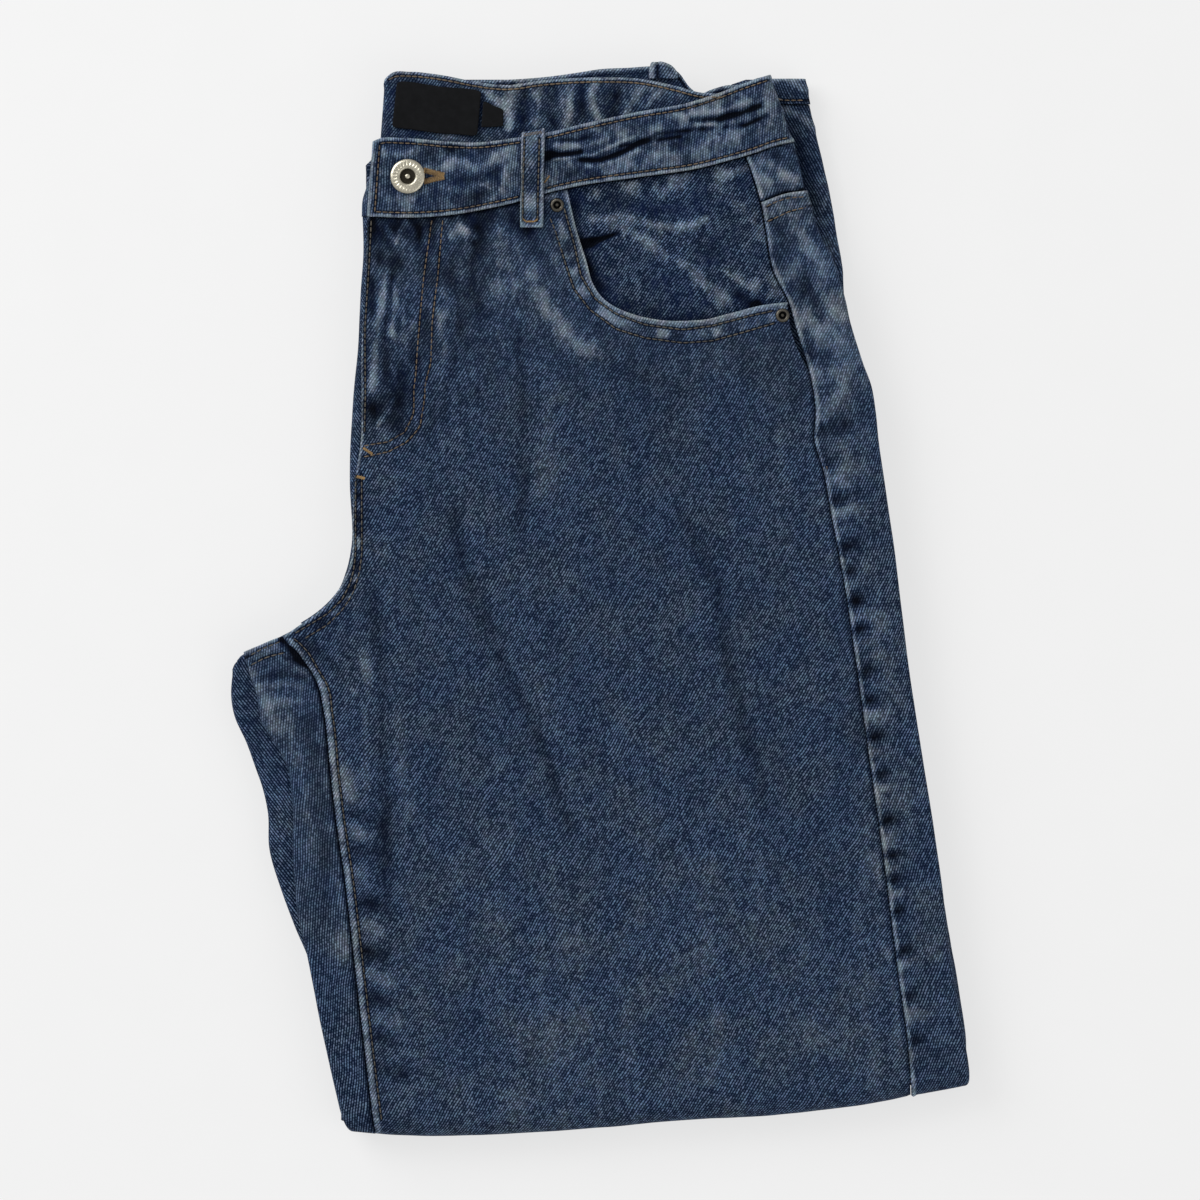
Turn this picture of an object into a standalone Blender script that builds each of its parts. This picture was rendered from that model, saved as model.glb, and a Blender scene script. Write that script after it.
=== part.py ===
"""A pair of wide leg jeans, folded in half lengthwise and then under at the knee, lying flat.

The left half lies on top, outside up. Sizes are in millimetres until sheet() and turned() make metres of them.
X runs across the legs, +Y runs up to the waist, Z is the height above the surface that the pair lies on.
"""

import math

import bmesh
import bpy
import numpy as np
from mathutils import Vector

MM = 0.001

# Cloth
CLOTH = 1.5  # a leg panel's wall
BAND = 3.0  # the waistband's two plies and its interlining
HEM = 2.6  # the turned hem
LABEL = 0.9
SEAM_GAP = 0.3
LAY_GAP = 0.4  # between cloths that lie on each other

# The pile of layers, as heights above the surface
PLY_TOPS = (5.5, 11.3)  # tops of the two folded-under lower legs
PILE_AT_LEG = 17.0
PILE_AT_WAIST = 19.5
PILE_RISES_FROM = 40.0
PILE_RISES_OVER = 150.0
TOP_LEG = 5.0  # the top leg, from the pile to its upper face
BAND_STEP = 2.2  # the waistband stands this far above the front panel
BAND_LEVEL_FROM = 200.0
INSIDE_BAND = 22.0  # upper face of the left back waistband, seen from inside
UNDER_BAND = 18.4  # upper face of the right back waistband
BACK_BANDS_FROM = 213.5  # lower edges of the two back waistbands

# The knee fold: the top leg goes round it and ends on the surface below
KNEE_RADIUS = (PILE_AT_LEG + TOP_LEG) / 2
KNEE_TURN = math.pi * KNEE_RADIUS
KNEE_TAIL = 9.0
KNEE_MEAN = -240.0
SKEW_FROM = -60.0
SKEW_FULL = -228.0

# Where the knee fold's axis runs: x, y
KNEE_LINE = (
    (-122, -245), (-103, -246.5), (10, -242.2), (52, -238.8),
    (85, -236.9), (119, -233.1), (147, -228.3), (175, -223),
)

# Front panel's inner edge down the fly and the crotch curve: y, x
FLY_EDGE = (
    (184, -111.6), (160, -112.6), (130, -114.7), (98, -114.5), (77, -114.7), (57, -117.6), (38, -118.8),
    (19, -119.5), (11.8, -121.9), (3.6, -126.2), (-5, -133.9), (-12.2, -144), (-17.8, -152.2),
)

# Inseam from the crotch to the knee: y, x
INSEAM = (
    (-17.8, -152.2), (-25.2, -141.1), (-35.3, -133.9), (-45.4, -130.1), (-59.3, -128.2), (-86.6, -124.8),
    (-114, -121.9), (-135, -119.7), (-174.5, -115.7), (-203.8, -111.8), (-237.8, -107), (-257, -104.2),
)

# Side seam from the waistband to the knee: y, x
SIDE_SEAM = (
    (220, 66), (213, 69.5), (201.4, 73.9), (187.4, 77.8), (175.4, 79.7), (155.3, 84), (144.2, 89.8),
    (129.8, 94.1), (111.6, 99.8), (97.7, 102.7), (88.6, 103.4), (77.5, 102.6), (62.2, 107), (44.4, 110.2),
    (25.7, 113.8), (7.9, 117.1), (-31, 122.9), (-72, 128.6), (-122.6, 135.8), (-183, 143.5), (-209, 147.2),
    (-239, 149.5), (-262, 150),
)

# Fold at the hip and down the outside of the leg: y, x
FOLD_EDGE = (
    (219.1, 93.1), (210, 95.5), (197.5, 98.2), (188.4, 101.3), (179.3, 104.2), (173, 106.6), (163.9, 111.4),
    (148.6, 116.6), (131.8, 120.5), (113.5, 126.2), (103, 130.3), (90.5, 132.5), (76.6, 133.9), (44.9, 138.7),
    (-1.7, 144.5), (-48.2, 150.7), (-86.6, 156.5), (-125.5, 162.7), (-180.7, 169.9), (-208.6, 174.5),
    (-224, 177.1), (-262, 176),
)

# Inner edge of the top leg below the crotch: y, x
INNER_EDGE = (
    (-20, -172), (-27, -170.4), (-45.4, -165.1), (-59.8, -162.2), (-70.8, -155), (-80.4, -150.2),
    (-91.4, -148.3), (-125, -147.4), (-150, -145.4), (-172.6, -140.2), (-199, -135.4), (-225.4, -129.6),
    (-250, -124), (-262, -121),
)

# Inner edge of the right leg, which lies under the top one: y, x
UNDER_EDGE = (
    (184, -114.3), (165, -113.6), (150, -114.7), (125, -116.2), (100, -118.6), (57, -120.2), (25, -119.8),
    (13, -122.4), (4, -126.2), (-5, -135), (-12, -145.5), (-18, -156), (-23, -168), (-28, -175.7),
    (-36.2, -176.9), (-47.3, -177.4), (-56.4, -175.7), (-68.4, -170.4), (-80.4, -166.1), (-91.4, -162.2),
    (-102, -159.8), (-120.2, -158.9), (-139.9, -153.1), (-157.7, -146.4), (-172.6, -140.2), (-199, -135.4),
    (-240, -126),
)

# Outer edge of the folded-under lower leg at the top right: y, x
LOWER_EDGE = (
    (252, 98.4), (230.2, 102.7), (211, 107), (188.9, 111.4), (173, 114.2), (161, 116.4), (144.7, 117.6),
    (126, 120.5),
)

# Crotch end of the back panel: x, y
CROTCH_TOP = ((-178, -34), (-176, -28.6), (-172, -25.6), (-164, -21.9), (-152.2, -17.5), (-141, -17.5))

# Waistband's lower and upper edges, left front: x, y
BAND_LOWER = (
    (-111.8, 183.6), (-88.3, 183.1), (-69.6, 184.6), (-51.4, 187.9), (-38.9, 190.8), (-26.4, 194.6),
    (-10.1, 198.3), (19.2, 202.6), (48, 206.9), (60, 210), (73.9, 214), (84, 217.6), (93.1, 219.6),
)
BAND_UPPER = (
    (-109, 219.6), (-106, 220.9), (-94.6, 221.3), (-73.4, 219.6), (-60.5, 219.1), (-39.4, 221.5),
    (-25.4, 223.9), (-5.3, 228.7), (19.2, 234), (40.8, 237.8), (57.6, 243.1), (66.2, 246.5), (81.6, 251.8),
)

# Upper edges of the back waistbands, left and right: x, y
INSIDE_UPPER = (
    (-104, 249), (-101, 252), (-91.2, 253.3), (-81.6, 252.5), (-72, 251), (-62.4, 249), (-43.2, 247),
    (-28.8, 249), (0, 250.6), (19.2, 249.9), (36.5, 246.4), (48, 243.4), (61, 243),
)
UNDER_UPPER = (
    (-88, 250), (-62, 249.4), (-48, 249.6), (-24, 251.3), (-9.6, 253.3), (0, 254.8), (12, 255.4), (31, 255.4),
    (38, 253), (43, 246.2), (48, 243), (53, 244.8), (60, 246.9), (68, 247.6), (76, 250.6), (82, 251.6),
)

# The seam under the yoke: x, y
YOKE_SEAM = ((74, 189.6), (78, 191), (89, 195), (98.5, 196.3), (104, 196.5))

# Pocket opening, from the waistband round to the side seam: x, y
POCKET_EDGE = (
    (-15.8, 196.6), (-11.5, 178.3), (-6.7, 163), (-3.4, 151.5), (3.4, 142.9), (15.4, 137), (30.7, 133.9),
    (49.4, 134.2), (62.9, 137.4), (76.8, 141), (89.2, 142.6),
)
POCKET_UNDERLAP = 6.0

# Soft folds raised in the cloth: from x, y, to x, y, half width, height
FRONT_FOLDS = (
    (-54, 30, -12, -103, 10, 0.8),
    (40, 41, 80, -99, 10, 0.8),
    (-36, 112, -30, 57, 9, 0.7),
    (-8, 120, 62, 112, 9, 0.9),
    (-96, 176, -99, 84, 9, 1.0),
)
FACING_FOLDS = (
    (-4, 184, 45, 177, 6, 1.6),
    (-2, 174, 6, 168, 6, 1.4),
    (30, 165, 69, 141, 5, 1.2),
    (56, 196, 72, 172, 6, 1.0),
    (78, 158, 84, 148, 5, 1.0),
)
HIP_FOLDS = (
    (96, 170, 113, 140, 5, 1.2),
    (112, 128, 116, 100, 6, 1.3),
    (117, 60, 119, 40, 6, 0.9),
    (131, 0, 137, -60, 6, 0.6),
)
BAND_FOLDS = (
    (-22, 204, 24, 216, 8, 1.3),
    (24, 216, 88, 228, 8, 1.3),
    (-24, 217, 20, 227, 5, 1.2),
    (20, 227, 80, 243, 6, 1.4),
    (-66, 206, -44, 200, 7, 0.8),
    (-100, 214, -70, 213, 5, 0.4),
)
INSIDE_FOLDS = (
    (-44, 232, -40, 246, 4, 0.9),
    (-30, 228, -33, 243, 4, 0.8),
    (-14, 230, -13, 246, 4, 0.9),
    (2, 232, -2, 247, 4, 0.9),
    (14, 236, 20, 245, 4, 0.8),
    (32, 238, 36, 243, 4, 0.7),
)

# Denim colours, linear: pieces that lie deeper are a little darker
DENIM = (0.055, 0.095, 0.21)
DENIM_SHADE = (0.03, 0.052, 0.12)
DENIM_INSIDE = (0.09, 0.14, 0.27)
BLACK_LABEL = (0.012, 0.012, 0.013)
PALE_METAL = (0.72, 0.68, 0.58)
DARK_METAL = (0.3, 0.29, 0.27)


# ---------------------------------------------------------------- curves


def smooth_step(value, start, end):
    """0 before start, 1 after end, and a soft ramp between them."""
    share = min(max((value - start) / (end - start), 0.0), 1.0)
    return share * share * (3 - 2 * share)


def mix(first, second, share):
    return first + (second - first) * share


def along(table, at):
    """Reads a table of (key, value) rows at any key, on one smooth curve through its rows."""
    ordered = sorted(table)
    keys = np.array([row[0] for row in ordered], float)
    values = np.array([row[1] for row in ordered], float)
    slopes = np.gradient(values, keys)
    at = min(max(at, keys[0]), keys[-1])
    first = int(min(max(np.searchsorted(keys, at) - 1, 0), len(keys) - 2))
    span = keys[first + 1] - keys[first]
    share = (at - keys[first]) / span
    return float(
        values[first] * (1 + 2 * share) * (1 - share) ** 2
        + slopes[first] * span * share * (1 - share) ** 2
        + values[first + 1] * share * share * (3 - 2 * share)
        + slopes[first + 1] * span * share * share * (share - 1)
    )


def pile_height(y):
    """Top of the hidden layers."""
    rise = smooth_step(y, PILE_RISES_FROM, PILE_RISES_FROM + PILE_RISES_OVER)
    return mix(PILE_AT_LEG, PILE_AT_WAIST, rise)


def leg_height(y):
    """Upper face of the top leg, without its folds."""
    return pile_height(y) + TOP_LEG


def inner_edge_of_front(y):
    return along(FLY_EDGE if y > FLY_EDGE[-1][0] else INSEAM, y)


def raised(folds, x, y):
    """Height that the folds add at a place: each is a soft ridge along a straight line."""
    total = 0.0
    for from_x, from_y, to_x, to_y, half_width, height in folds:
        run = np.array([to_x - from_x, to_y - from_y])
        place = np.array([x - from_x, y - from_y])
        share = min(max(float(place @ run) / float(run @ run), 0.0), 1.0)
        off = float(np.hypot(*(place - share * run)))
        total += height * math.exp(-((off / half_width) ** 2))
    return total


def skewed(y, x):
    """The rows turn from level, up the leg, to parallel with the knee fold."""
    share = 1 - smooth_step(y, SKEW_FULL, SKEW_FROM)
    return y + share * (along(KNEE_LINE, x) - KNEE_MEAN)


def round_knee(x, y, z):
    """Takes a place on the leg, as if it lay straight, round the knee fold."""
    axis_y = along(KNEE_LINE, x)
    past = axis_y - y
    if past <= 0:
        return (x, y, z)
    reach = z - KNEE_RADIUS
    if past > KNEE_TURN:
        return (x, axis_y + past - KNEE_TURN, KNEE_RADIUS - reach)
    angle = past / KNEE_RADIUS
    return (x, axis_y - reach * math.sin(angle), KNEE_RADIUS + reach * math.cos(angle))


def rows(*spans):
    """Row positions from (start, end, steps) spans that follow on each other."""
    found = [spans[0][0]]
    for start, end, steps in spans:
        found += [start + (end - start) * k / steps for k in range(1, steps + 1)]
    return found


def row_at(levels, row):
    return float(np.interp(row, range(len(levels)), levels))


KNEE_ROWS = (
    (KNEE_MEAN - KNEE_TURN - KNEE_TAIL, KNEE_MEAN - KNEE_TURN, 1),
    (KNEE_MEAN - KNEE_TURN, KNEE_MEAN, 8),
)
CROTCH_Y = -17.8
BELOW_CROTCH = -60.0
OPENING_Y = 110.0  # just below the pocket opening
LEG_ROWS = ((KNEE_MEAN, BELOW_CROTCH, 11), (BELOW_CROTCH, CROTCH_Y, 6))
HIP_ROWS = ((CROTCH_Y, OPENING_Y, 8),)


# ---------------------------------------------------------------- making solids


def finish(colour, roughness, metallic=0.0):
    name = "denim" if metallic == 0 else "metal"
    material = bpy.data.materials.new(name)
    material.use_nodes = True
    shader = material.node_tree.nodes["Principled BSDF"]
    shader.inputs["Base Color"].default_value = (*colour, 1)
    shader.inputs["Roughness"].default_value = roughness
    shader.inputs["Metallic"].default_value = metallic
    material.diffuse_color = (*colour, 1)
    return material


def to_object(name, bm, material):
    mesh = bpy.data.meshes.new(name)
    bm.to_mesh(mesh)
    bm.free()
    mesh.shade_smooth()
    mesh.set_sharp_from_angle(angle=math.radians(40))
    mesh.materials.append(material)
    obj = bpy.data.objects.new(name, mesh)
    bpy.context.scene.collection.objects.link(obj)
    return obj


def sheet(name, columns, row_count, place, wall, colour, mirrored=False):
    """One piece of cloth: a grid whose points go where place(column, row) says, with a wall below it."""
    bm = bmesh.new()
    bmesh.ops.create_grid(bm, x_segments=columns, y_segments=row_count, size=0.5)
    for vert in bm.verts:
        column = (vert.co.x + 0.5) * columns
        row = (vert.co.y + 0.5) * row_count
        vert.co = Vector(place(column, row)) * MM
    if mirrored:
        bmesh.ops.reverse_faces(bm, faces=bm.faces)
    obj = to_object(name, bm, finish(colour, 0.9))
    solidify = obj.modifiers.new("Wall", "SOLIDIFY")
    solidify.thickness = wall * MM
    solidify.offset = -1
    solidify.use_quality_normals = True
    return obj


def turned(name, profile, centre, steps, material):
    """A round piece: its profile of (radius, height) points, turned about an upright axis."""
    bm = bmesh.new()
    points = [bm.verts.new((centre[0] + radius, centre[1], centre[2] + height)) for radius, height in profile]
    edges = [bm.edges.new(pair) for pair in zip(points, points[1:])]
    axis_point = Vector(centre)
    bmesh.ops.spin(
        bm, geom=points + edges, cent=axis_point, axis=(0, 0, 1), angle=2 * math.pi, steps=steps, use_merge=True
    )
    bmesh.ops.remove_doubles(bm, verts=bm.verts, dist=0.001)
    bmesh.ops.scale(bm, vec=(MM, MM, MM), verts=bm.verts)
    bmesh.ops.recalc_face_normals(bm, faces=bm.faces)
    return to_object(name, bm, material)


# ---------------------------------------------------------------- cloth that goes round an edge


FOLD_COLUMNS = (5, 6, 2)  # on the flap that shows, round the fold, on the flap beneath
PLAIN_FOLD_COLUMNS = (3, 6, 1)
HIP_TUCK = 14  # how far the hip's cloth goes back beneath
LOWER_FLAP = 18  # how far the lower leg's upper flap goes back from its edge


def fold_place(column, seam_x, edge_x, top, bottom, beneath, counts=FOLD_COLUMNS):
    """A place on cloth that runs from its seam, over an edge, and back beneath: x, z and its share on top.

    The share is 1 on the flap that shows and falls to 0 round the fold, so that relief fades out there.
    """
    flap, turn, tuck = counts
    outward = 1 if edge_x > seam_x else -1
    radius = (top - bottom) / 2
    shoulder = edge_x - outward * radius
    if column <= flap:
        share = column / flap
        return mix(seam_x, shoulder, share), top, 1 - smooth_step(share, 0.75, 1)
    if column <= flap + turn:
        angle = math.pi * (column - flap) / turn
        return shoulder + outward * radius * math.sin(angle), mix(top, bottom, (1 - math.cos(angle)) / 2), 0
    share = (column - flap - turn) / tuck
    return shoulder - outward * beneath * share, bottom, 0


# ---------------------------------------------------------------- the pieces


def front_left():
    """The left front panel, from the waist seam and the pocket opening down and round the knee fold."""
    waist_columns, pocket_columns = 6, 10
    columns = waist_columns + pocket_columns
    corner_share = 0.46  # where the column from the pocket's upper corner crosses the leg
    levels = rows(*KNEE_ROWS, *LEG_ROWS, *HIP_ROWS, (OPENING_Y, FLY_EDGE[0][0], 7))
    pocket_steps = np.linspace(0, 1, len(POCKET_EDGE))

    def top_edge(column):
        if column <= waist_columns:
            x = mix(BAND_LOWER[0][0], POCKET_EDGE[0][0], column / waist_columns)
            return x, along(BAND_LOWER, x) - SEAM_GAP
        share = (column - waist_columns) / pocket_columns
        x = along(list(zip(pocket_steps, [row[0] for row in POCKET_EDGE])), share)
        y = along(list(zip(pocket_steps, [row[1] for row in POCKET_EDGE])), share)
        return x, min(y, along(BAND_LOWER, x) - SEAM_GAP)

    def place(column, row):
        level = row_at(levels, row)
        top_x, top_y = top_edge(column)
        up = max(level - OPENING_Y, 0) / (levels[-1] - OPENING_Y)
        y = mix(OPENING_Y, top_y, up) if up > 0 else level
        width_share = float(np.interp(column, (0, waist_columns, columns), (0, corner_share, 1)))

        def across(at_y):
            left = inner_edge_of_front(at_y)
            right = along(SIDE_SEAM, at_y) - SEAM_GAP / 2
            top_share = (top_x - left) / (right - left)
            return mix(left, right, mix(width_share, min(top_share, 1), up))

        x = across(y)
        y = skewed(y, x)
        if up == 0:
            x = across(y)
        off_seams = smooth_step(column, 0, 2) * (1 - smooth_step(column, columns - 2, columns))
        return round_knee(x, y, leg_height(y) + raised(FRONT_FOLDS, x, y) * off_seams)

    return sheet("front_left", columns, len(levels) - 1, place, CLOTH, DENIM)


def fold_piece(name, levels, seam, edge, top_of_row, heights, beneath, wall, colour, folds=(), counts=FOLD_COLUMNS,
               blend_from=None, mirrored=False, knee=False):
    """A panel that goes round an edge. seam, edge: x at a y. top_of_row: y of its top end at an x.

    heights(y) gives the outer top and bottom of the fold.
    """
    columns = sum(counts)
    highest = levels[-1]

    def place(column, row):
        level = row_at(levels, row)
        y = level
        for _ in range(3):
            top, bottom = heights(y)
            x, z, share = fold_place(column, seam(y), edge(y), top, bottom, beneath, counts)
            y = level
            if blend_from is not None and level > blend_from:
                up = (level - blend_from) / (highest - blend_from)
                y = mix(blend_from, top_of_row(x), up)
            if knee:
                y = skewed(y, x)
        z += raised(folds, x, y) * share
        return round_knee(x, y, z) if knee else (x, y, z)

    return sheet(name, columns, len(levels) - 1, place, wall, colour, mirrored)


def top_leg_heights(y):
    return leg_height(y), pile_height(y) + LAY_GAP


def back_left_outseam():
    """The left back panel from the side seam, round the hip fold and back beneath."""
    blend_from = 145.0
    return fold_piece(
        "back_left_outseam",
        rows(*KNEE_ROWS, *LEG_ROWS, *HIP_ROWS, (OPENING_Y, blend_from, 4), (blend_from, 196, 4)),
        seam=lambda y: along(SIDE_SEAM, y) + SEAM_GAP / 2,
        edge=lambda y: along(FOLD_EDGE, y),
        top_of_row=lambda x: along(YOKE_SEAM, x) - SEAM_GAP,
        heights=top_leg_heights,
        beneath=HIP_TUCK,
        wall=CLOTH,
        colour=DENIM,
        folds=HIP_FOLDS,
        blend_from=blend_from,
        knee=True,
    )


def yoke_left():
    row_count = 4
    middle_y = 205.0

    def top(x):
        return along(BAND_LOWER, x) - 2 * SEAM_GAP

    def place(column, row):
        share = row / row_count
        y = middle_y
        for _ in range(3):
            seam_x = along(SIDE_SEAM, y) + SEAM_GAP / 2
            x, z, _ = fold_place(column, seam_x, along(FOLD_EDGE, y), *top_leg_heights(y), HIP_TUCK)
            y = mix(along(YOKE_SEAM, x), top(x), share)
        return (x, y, z)

    return sheet("yoke_left", sum(FOLD_COLUMNS), row_count, place, CLOTH, DENIM)


def back_left_inseam():
    """The left back panel at the inner thigh: from the inseam, round the inner edge and back beneath."""
    return fold_piece(
        "back_left_inseam",
        rows(*KNEE_ROWS, *LEG_ROWS),
        seam=lambda y: along(INSEAM, y) - SEAM_GAP,
        edge=lambda y: along(INNER_EDGE, y),
        top_of_row=lambda x: along(CROTCH_TOP, x) - SEAM_GAP,
        heights=top_leg_heights,
        beneath=16,
        wall=CLOTH,
        colour=DENIM,
        blend_from=BELOW_CROTCH,
        mirrored=True,
        knee=True,
    )


def front_right():
    """The right front, where it comes out from under the fly edge and goes down round the left side."""
    flap = 13.0
    return fold_piece(
        "front_right",
        rows((-11, 24, 5), (24, 183.2, 10)),
        seam=lambda y: along(UNDER_EDGE, y) + flap,
        edge=lambda y: along(UNDER_EDGE, y),
        top_of_row=None,
        heights=lambda y: (leg_height(y) - CLOTH - LAY_GAP, PLY_TOPS[1] + LAY_GAP),
        beneath=7,
        wall=CLOTH,
        colour=DENIM_SHADE,
        counts=PLAIN_FOLD_COLUMNS,
        mirrored=True,
    )


def back_right():
    """The right back panel, which shows as a strip beside the crotch, lower than the top leg."""
    flap = 13.0
    return fold_piece(
        "back_right",
        rows((-190, BELOW_CROTCH, 9), (BELOW_CROTCH, -20, 5)),
        seam=lambda y: along(UNDER_EDGE, y) + flap,
        edge=lambda y: along(UNDER_EDGE, y),
        top_of_row=lambda x: along(CROTCH_TOP, x) - SEAM_GAP,
        heights=lambda y: (PILE_AT_LEG, PLY_TOPS[1] + LAY_GAP),
        beneath=10,
        wall=CLOTH,
        colour=DENIM_SHADE,
        counts=(4, 6, 1),
        blend_from=BELOW_CROTCH,
        mirrored=True,
    )


def lower_leg():
    """The right lower leg, folded under, where it stands out beyond the hip at the top right."""
    return fold_piece(
        "lower_leg",
        rows((127, 238.2, 10)),
        seam=lambda y: along(LOWER_EDGE, y) - LOWER_FLAP,
        edge=lambda y: along(LOWER_EDGE, y),
        top_of_row=None,
        heights=lambda y: (PLY_TOPS[1] - LAY_GAP, PLY_TOPS[0] + LAY_GAP),
        beneath=14,
        wall=CLOTH,
        colour=DENIM,
        counts=PLAIN_FOLD_COLUMNS,
    )


def lower_leg_hem():
    """The turned hem of that leg, 12 mm deep and thicker than the leg."""
    return fold_piece(
        "lower_leg_hem",
        rows((238.5, 250.6, 2)),
        seam=lambda y: along(LOWER_EDGE, y) - LOWER_FLAP + SEAM_GAP,
        edge=lambda y: along(LOWER_EDGE, y) + SEAM_GAP,
        top_of_row=None,
        heights=lambda y: (PLY_TOPS[1] + HEM - CLOTH, PLY_TOPS[0] + LAY_GAP),
        beneath=13,
        wall=HEM,
        colour=DENIM,
        counts=PLAIN_FOLD_COLUMNS,
    )


def pocket_facing():
    """The denim seen inside the pocket opening, tucked under the opening's edge."""
    columns, row_count = 16, 11
    left = POCKET_EDGE[0][0] - POCKET_UNDERLAP
    lower = tuple((x, y - POCKET_UNDERLAP) for x, y in POCKET_EDGE[3:])
    corner_rise = 2.0
    middle_y = 170.0

    def lower_edge(x):
        corner_x, corner_y = lower[0]
        if x < corner_x:
            return mix(corner_y + corner_rise, corner_y, (x - left) / (corner_x - left))
        return along(lower, x)

    def place(column, row):
        share = row / row_count
        y = middle_y
        for _ in range(4):
            right = along(SIDE_SEAM, y) - SEAM_GAP
            x = mix(left, right, column / columns)
            y = mix(lower_edge(x), along(BAND_LOWER, x) - SEAM_GAP, share)
        off_edges = smooth_step(column, 2, 5) * (1 - smooth_step(column, columns - 2, columns))
        sunk = leg_height(y) - CLOTH - LAY_GAP
        return (x, y, sunk + raised(FACING_FOLDS, x, y) * off_edges * smooth_step(row, 1, 4))

    return sheet("pocket_facing", columns, row_count, place, CLOTH, DENIM)


def band_height(y):
    """Upper face of the front waistband, level above the yoke."""
    return leg_height(min(y, BAND_LEVEL_FROM)) + BAND_STEP


def waistband_front_left():
    """The left front waistband, from its buttoned end to the fold at the side, where it turns under."""
    counts = (24, 6, 2)
    row_count = 6

    def place(column, row):
        share = row / row_count
        start = mix(BAND_LOWER[0][0], BAND_UPPER[0][0], share)
        end = mix(BAND_LOWER[-1][0], BAND_UPPER[-1][0], share)
        y = BAND_LEVEL_FROM
        for _ in range(3):
            x, z, shown = fold_place(column, start, end, band_height(y), INSIDE_BAND - BAND, HIP_TUCK, counts)
            y = mix(along(BAND_LOWER, x), along(BAND_UPPER, x), share)
        edges = smooth_step(row, 0, 1) * (1 - smooth_step(row, row_count - 1, row_count))
        z += raised(BAND_FOLDS, x, y) * shown * edges * smooth_step(column, 0, 1)
        return (x, y, z)

    return sheet("waistband_front_left", sum(counts), row_count, place, BAND, DENIM)


def waistband_back_left():
    """The left back waistband, inside face up. It turns under at the centre back, on the left."""
    counts = (26, 6, 2)
    row_count = 4
    side_x = 59.5
    fold_low_x, fold_high_x = -106.0, -103.4
    tuck = 12.0

    def place(column, row):
        share = row / row_count
        fold_x = mix(fold_low_x, fold_high_x, share)
        x, z, shown = fold_place(column, side_x, fold_x, INSIDE_BAND, UNDER_BAND - BAND, tuck, counts)
        y = mix(BACK_BANDS_FROM, along(INSIDE_UPPER, x), share)
        return (x, y, z + raised(INSIDE_FOLDS, x, y) * shown)

    return sheet("waistband_back_left", sum(counts), row_count, place, BAND, DENIM_INSIDE, mirrored=True)


def waistband_back_right():
    """The right back waistband, under the left one, from the centre back fold to the side."""
    columns, row_count = 24, 3
    start_x, end_x = -86.5, 80.0

    def place(column, row):
        x = mix(start_x, end_x, column / columns)
        y = mix(BACK_BANDS_FROM, along(UNDER_UPPER, x), row / row_count)
        return (x, y, UNDER_BAND)

    return sheet("waistband_back_right", columns, row_count, place, BAND, DENIM_SHADE)


def waistband_front_right():
    """The right front waistband under the buttoned end, going down round the left side."""
    fold_rows = ((184, -114.4), (192, -114), (200, -111.6), (212.5, -109.5))  # y, x
    end_x = -84.0
    return fold_piece(
        "waistband_front_right",
        rows((184, 210.4, 3)),
        seam=lambda y: end_x,
        edge=lambda y: along(fold_rows, y),
        top_of_row=None,
        heights=lambda y: (band_height(y) - BAND - LAY_GAP, PLY_TOPS[1] + LAY_GAP),
        beneath=6,
        wall=BAND,
        colour=DENIM_SHADE,
        counts=PLAIN_FOLD_COLUMNS,
        mirrored=True,
    )


def belt_loop_front():
    """A strip over the waistband, let down to the cloth at both ends."""
    columns, row_count = 2, 14
    low_x, low_y = -34.7, 178.4
    high_x = -31.0
    half_width = 6.0
    past_band = 2.2
    turn_down = 1.5
    slack = 0.5  # the loop lies this much looser on the band than on the panel
    step_from, step_to = 182.0, 188.0
    off_cloth = SEAM_GAP + CLOTH

    def place(column, row):
        x = mix(low_x, high_x, row / row_count) + mix(-half_width, half_width, column / columns)
        edge = along(BAND_UPPER, x)
        y = mix(low_y, edge + past_band, row / row_count)
        on_panel = leg_height(y) + off_cloth
        on_band = band_height(y) + off_cloth + slack
        z = mix(on_panel, on_band, smooth_step(y, step_from, step_to))
        return (x, y, z - turn_down * smooth_step(y, edge + 0.4, edge + 2.4))

    return sheet("belt_loop_front", columns, row_count, place, CLOTH, DENIM)


def belt_loop_back():
    """The top of a back belt loop, which stands above the back waistbands' edge."""
    columns, row_count = 4, 6
    left_x, right_x = 24.0, 37.4
    low_y, high_y = 250.4, 258.0
    right_droop = 1.5
    crown = 0.6
    turn_down = 1.6

    def place(column, row):
        x = mix(left_x, right_x, column / columns)
        y = mix(low_y, high_y, row / row_count) - right_droop * smooth_step(x, 30, right_x)
        z = UNDER_BAND + SEAM_GAP + CLOTH + crown * math.sin(math.pi * column / columns)
        return (x, y, z - turn_down * smooth_step(y, high_y - 1, high_y + 0.6))

    return sheet("belt_loop_back", columns, row_count, place, CLOTH, DENIM)


def label(name, corners, lift):
    """A label on the inside of the waistband: its corners go round from the lower left."""
    columns, row_count = 6, 3

    def place(column, row):
        across, up = column / columns, row / row_count
        lower = [mix(corners[0][k], corners[1][k], across) for k in (0, 1)]
        upper = [mix(corners[3][k], corners[2][k], across) for k in (0, 1)]
        x, y = (mix(lower[k], upper[k], up) for k in (0, 1))
        return (x, y, INSIDE_BAND + raised(INSIDE_FOLDS, x, y) + lift + LABEL)

    return sheet(name, columns, row_count, place, LABEL, BLACK_LABEL)


BUTTON_AT = (-92.2, 202.8)
BUTTON_RADIUS = 8.4
BUTTON_FOOT = band_height(BUTTON_AT[1]) + 2 * SEAM_GAP
BUTTON_FLOOR = 0.8  # thickness of the cap inside its hollow


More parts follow.
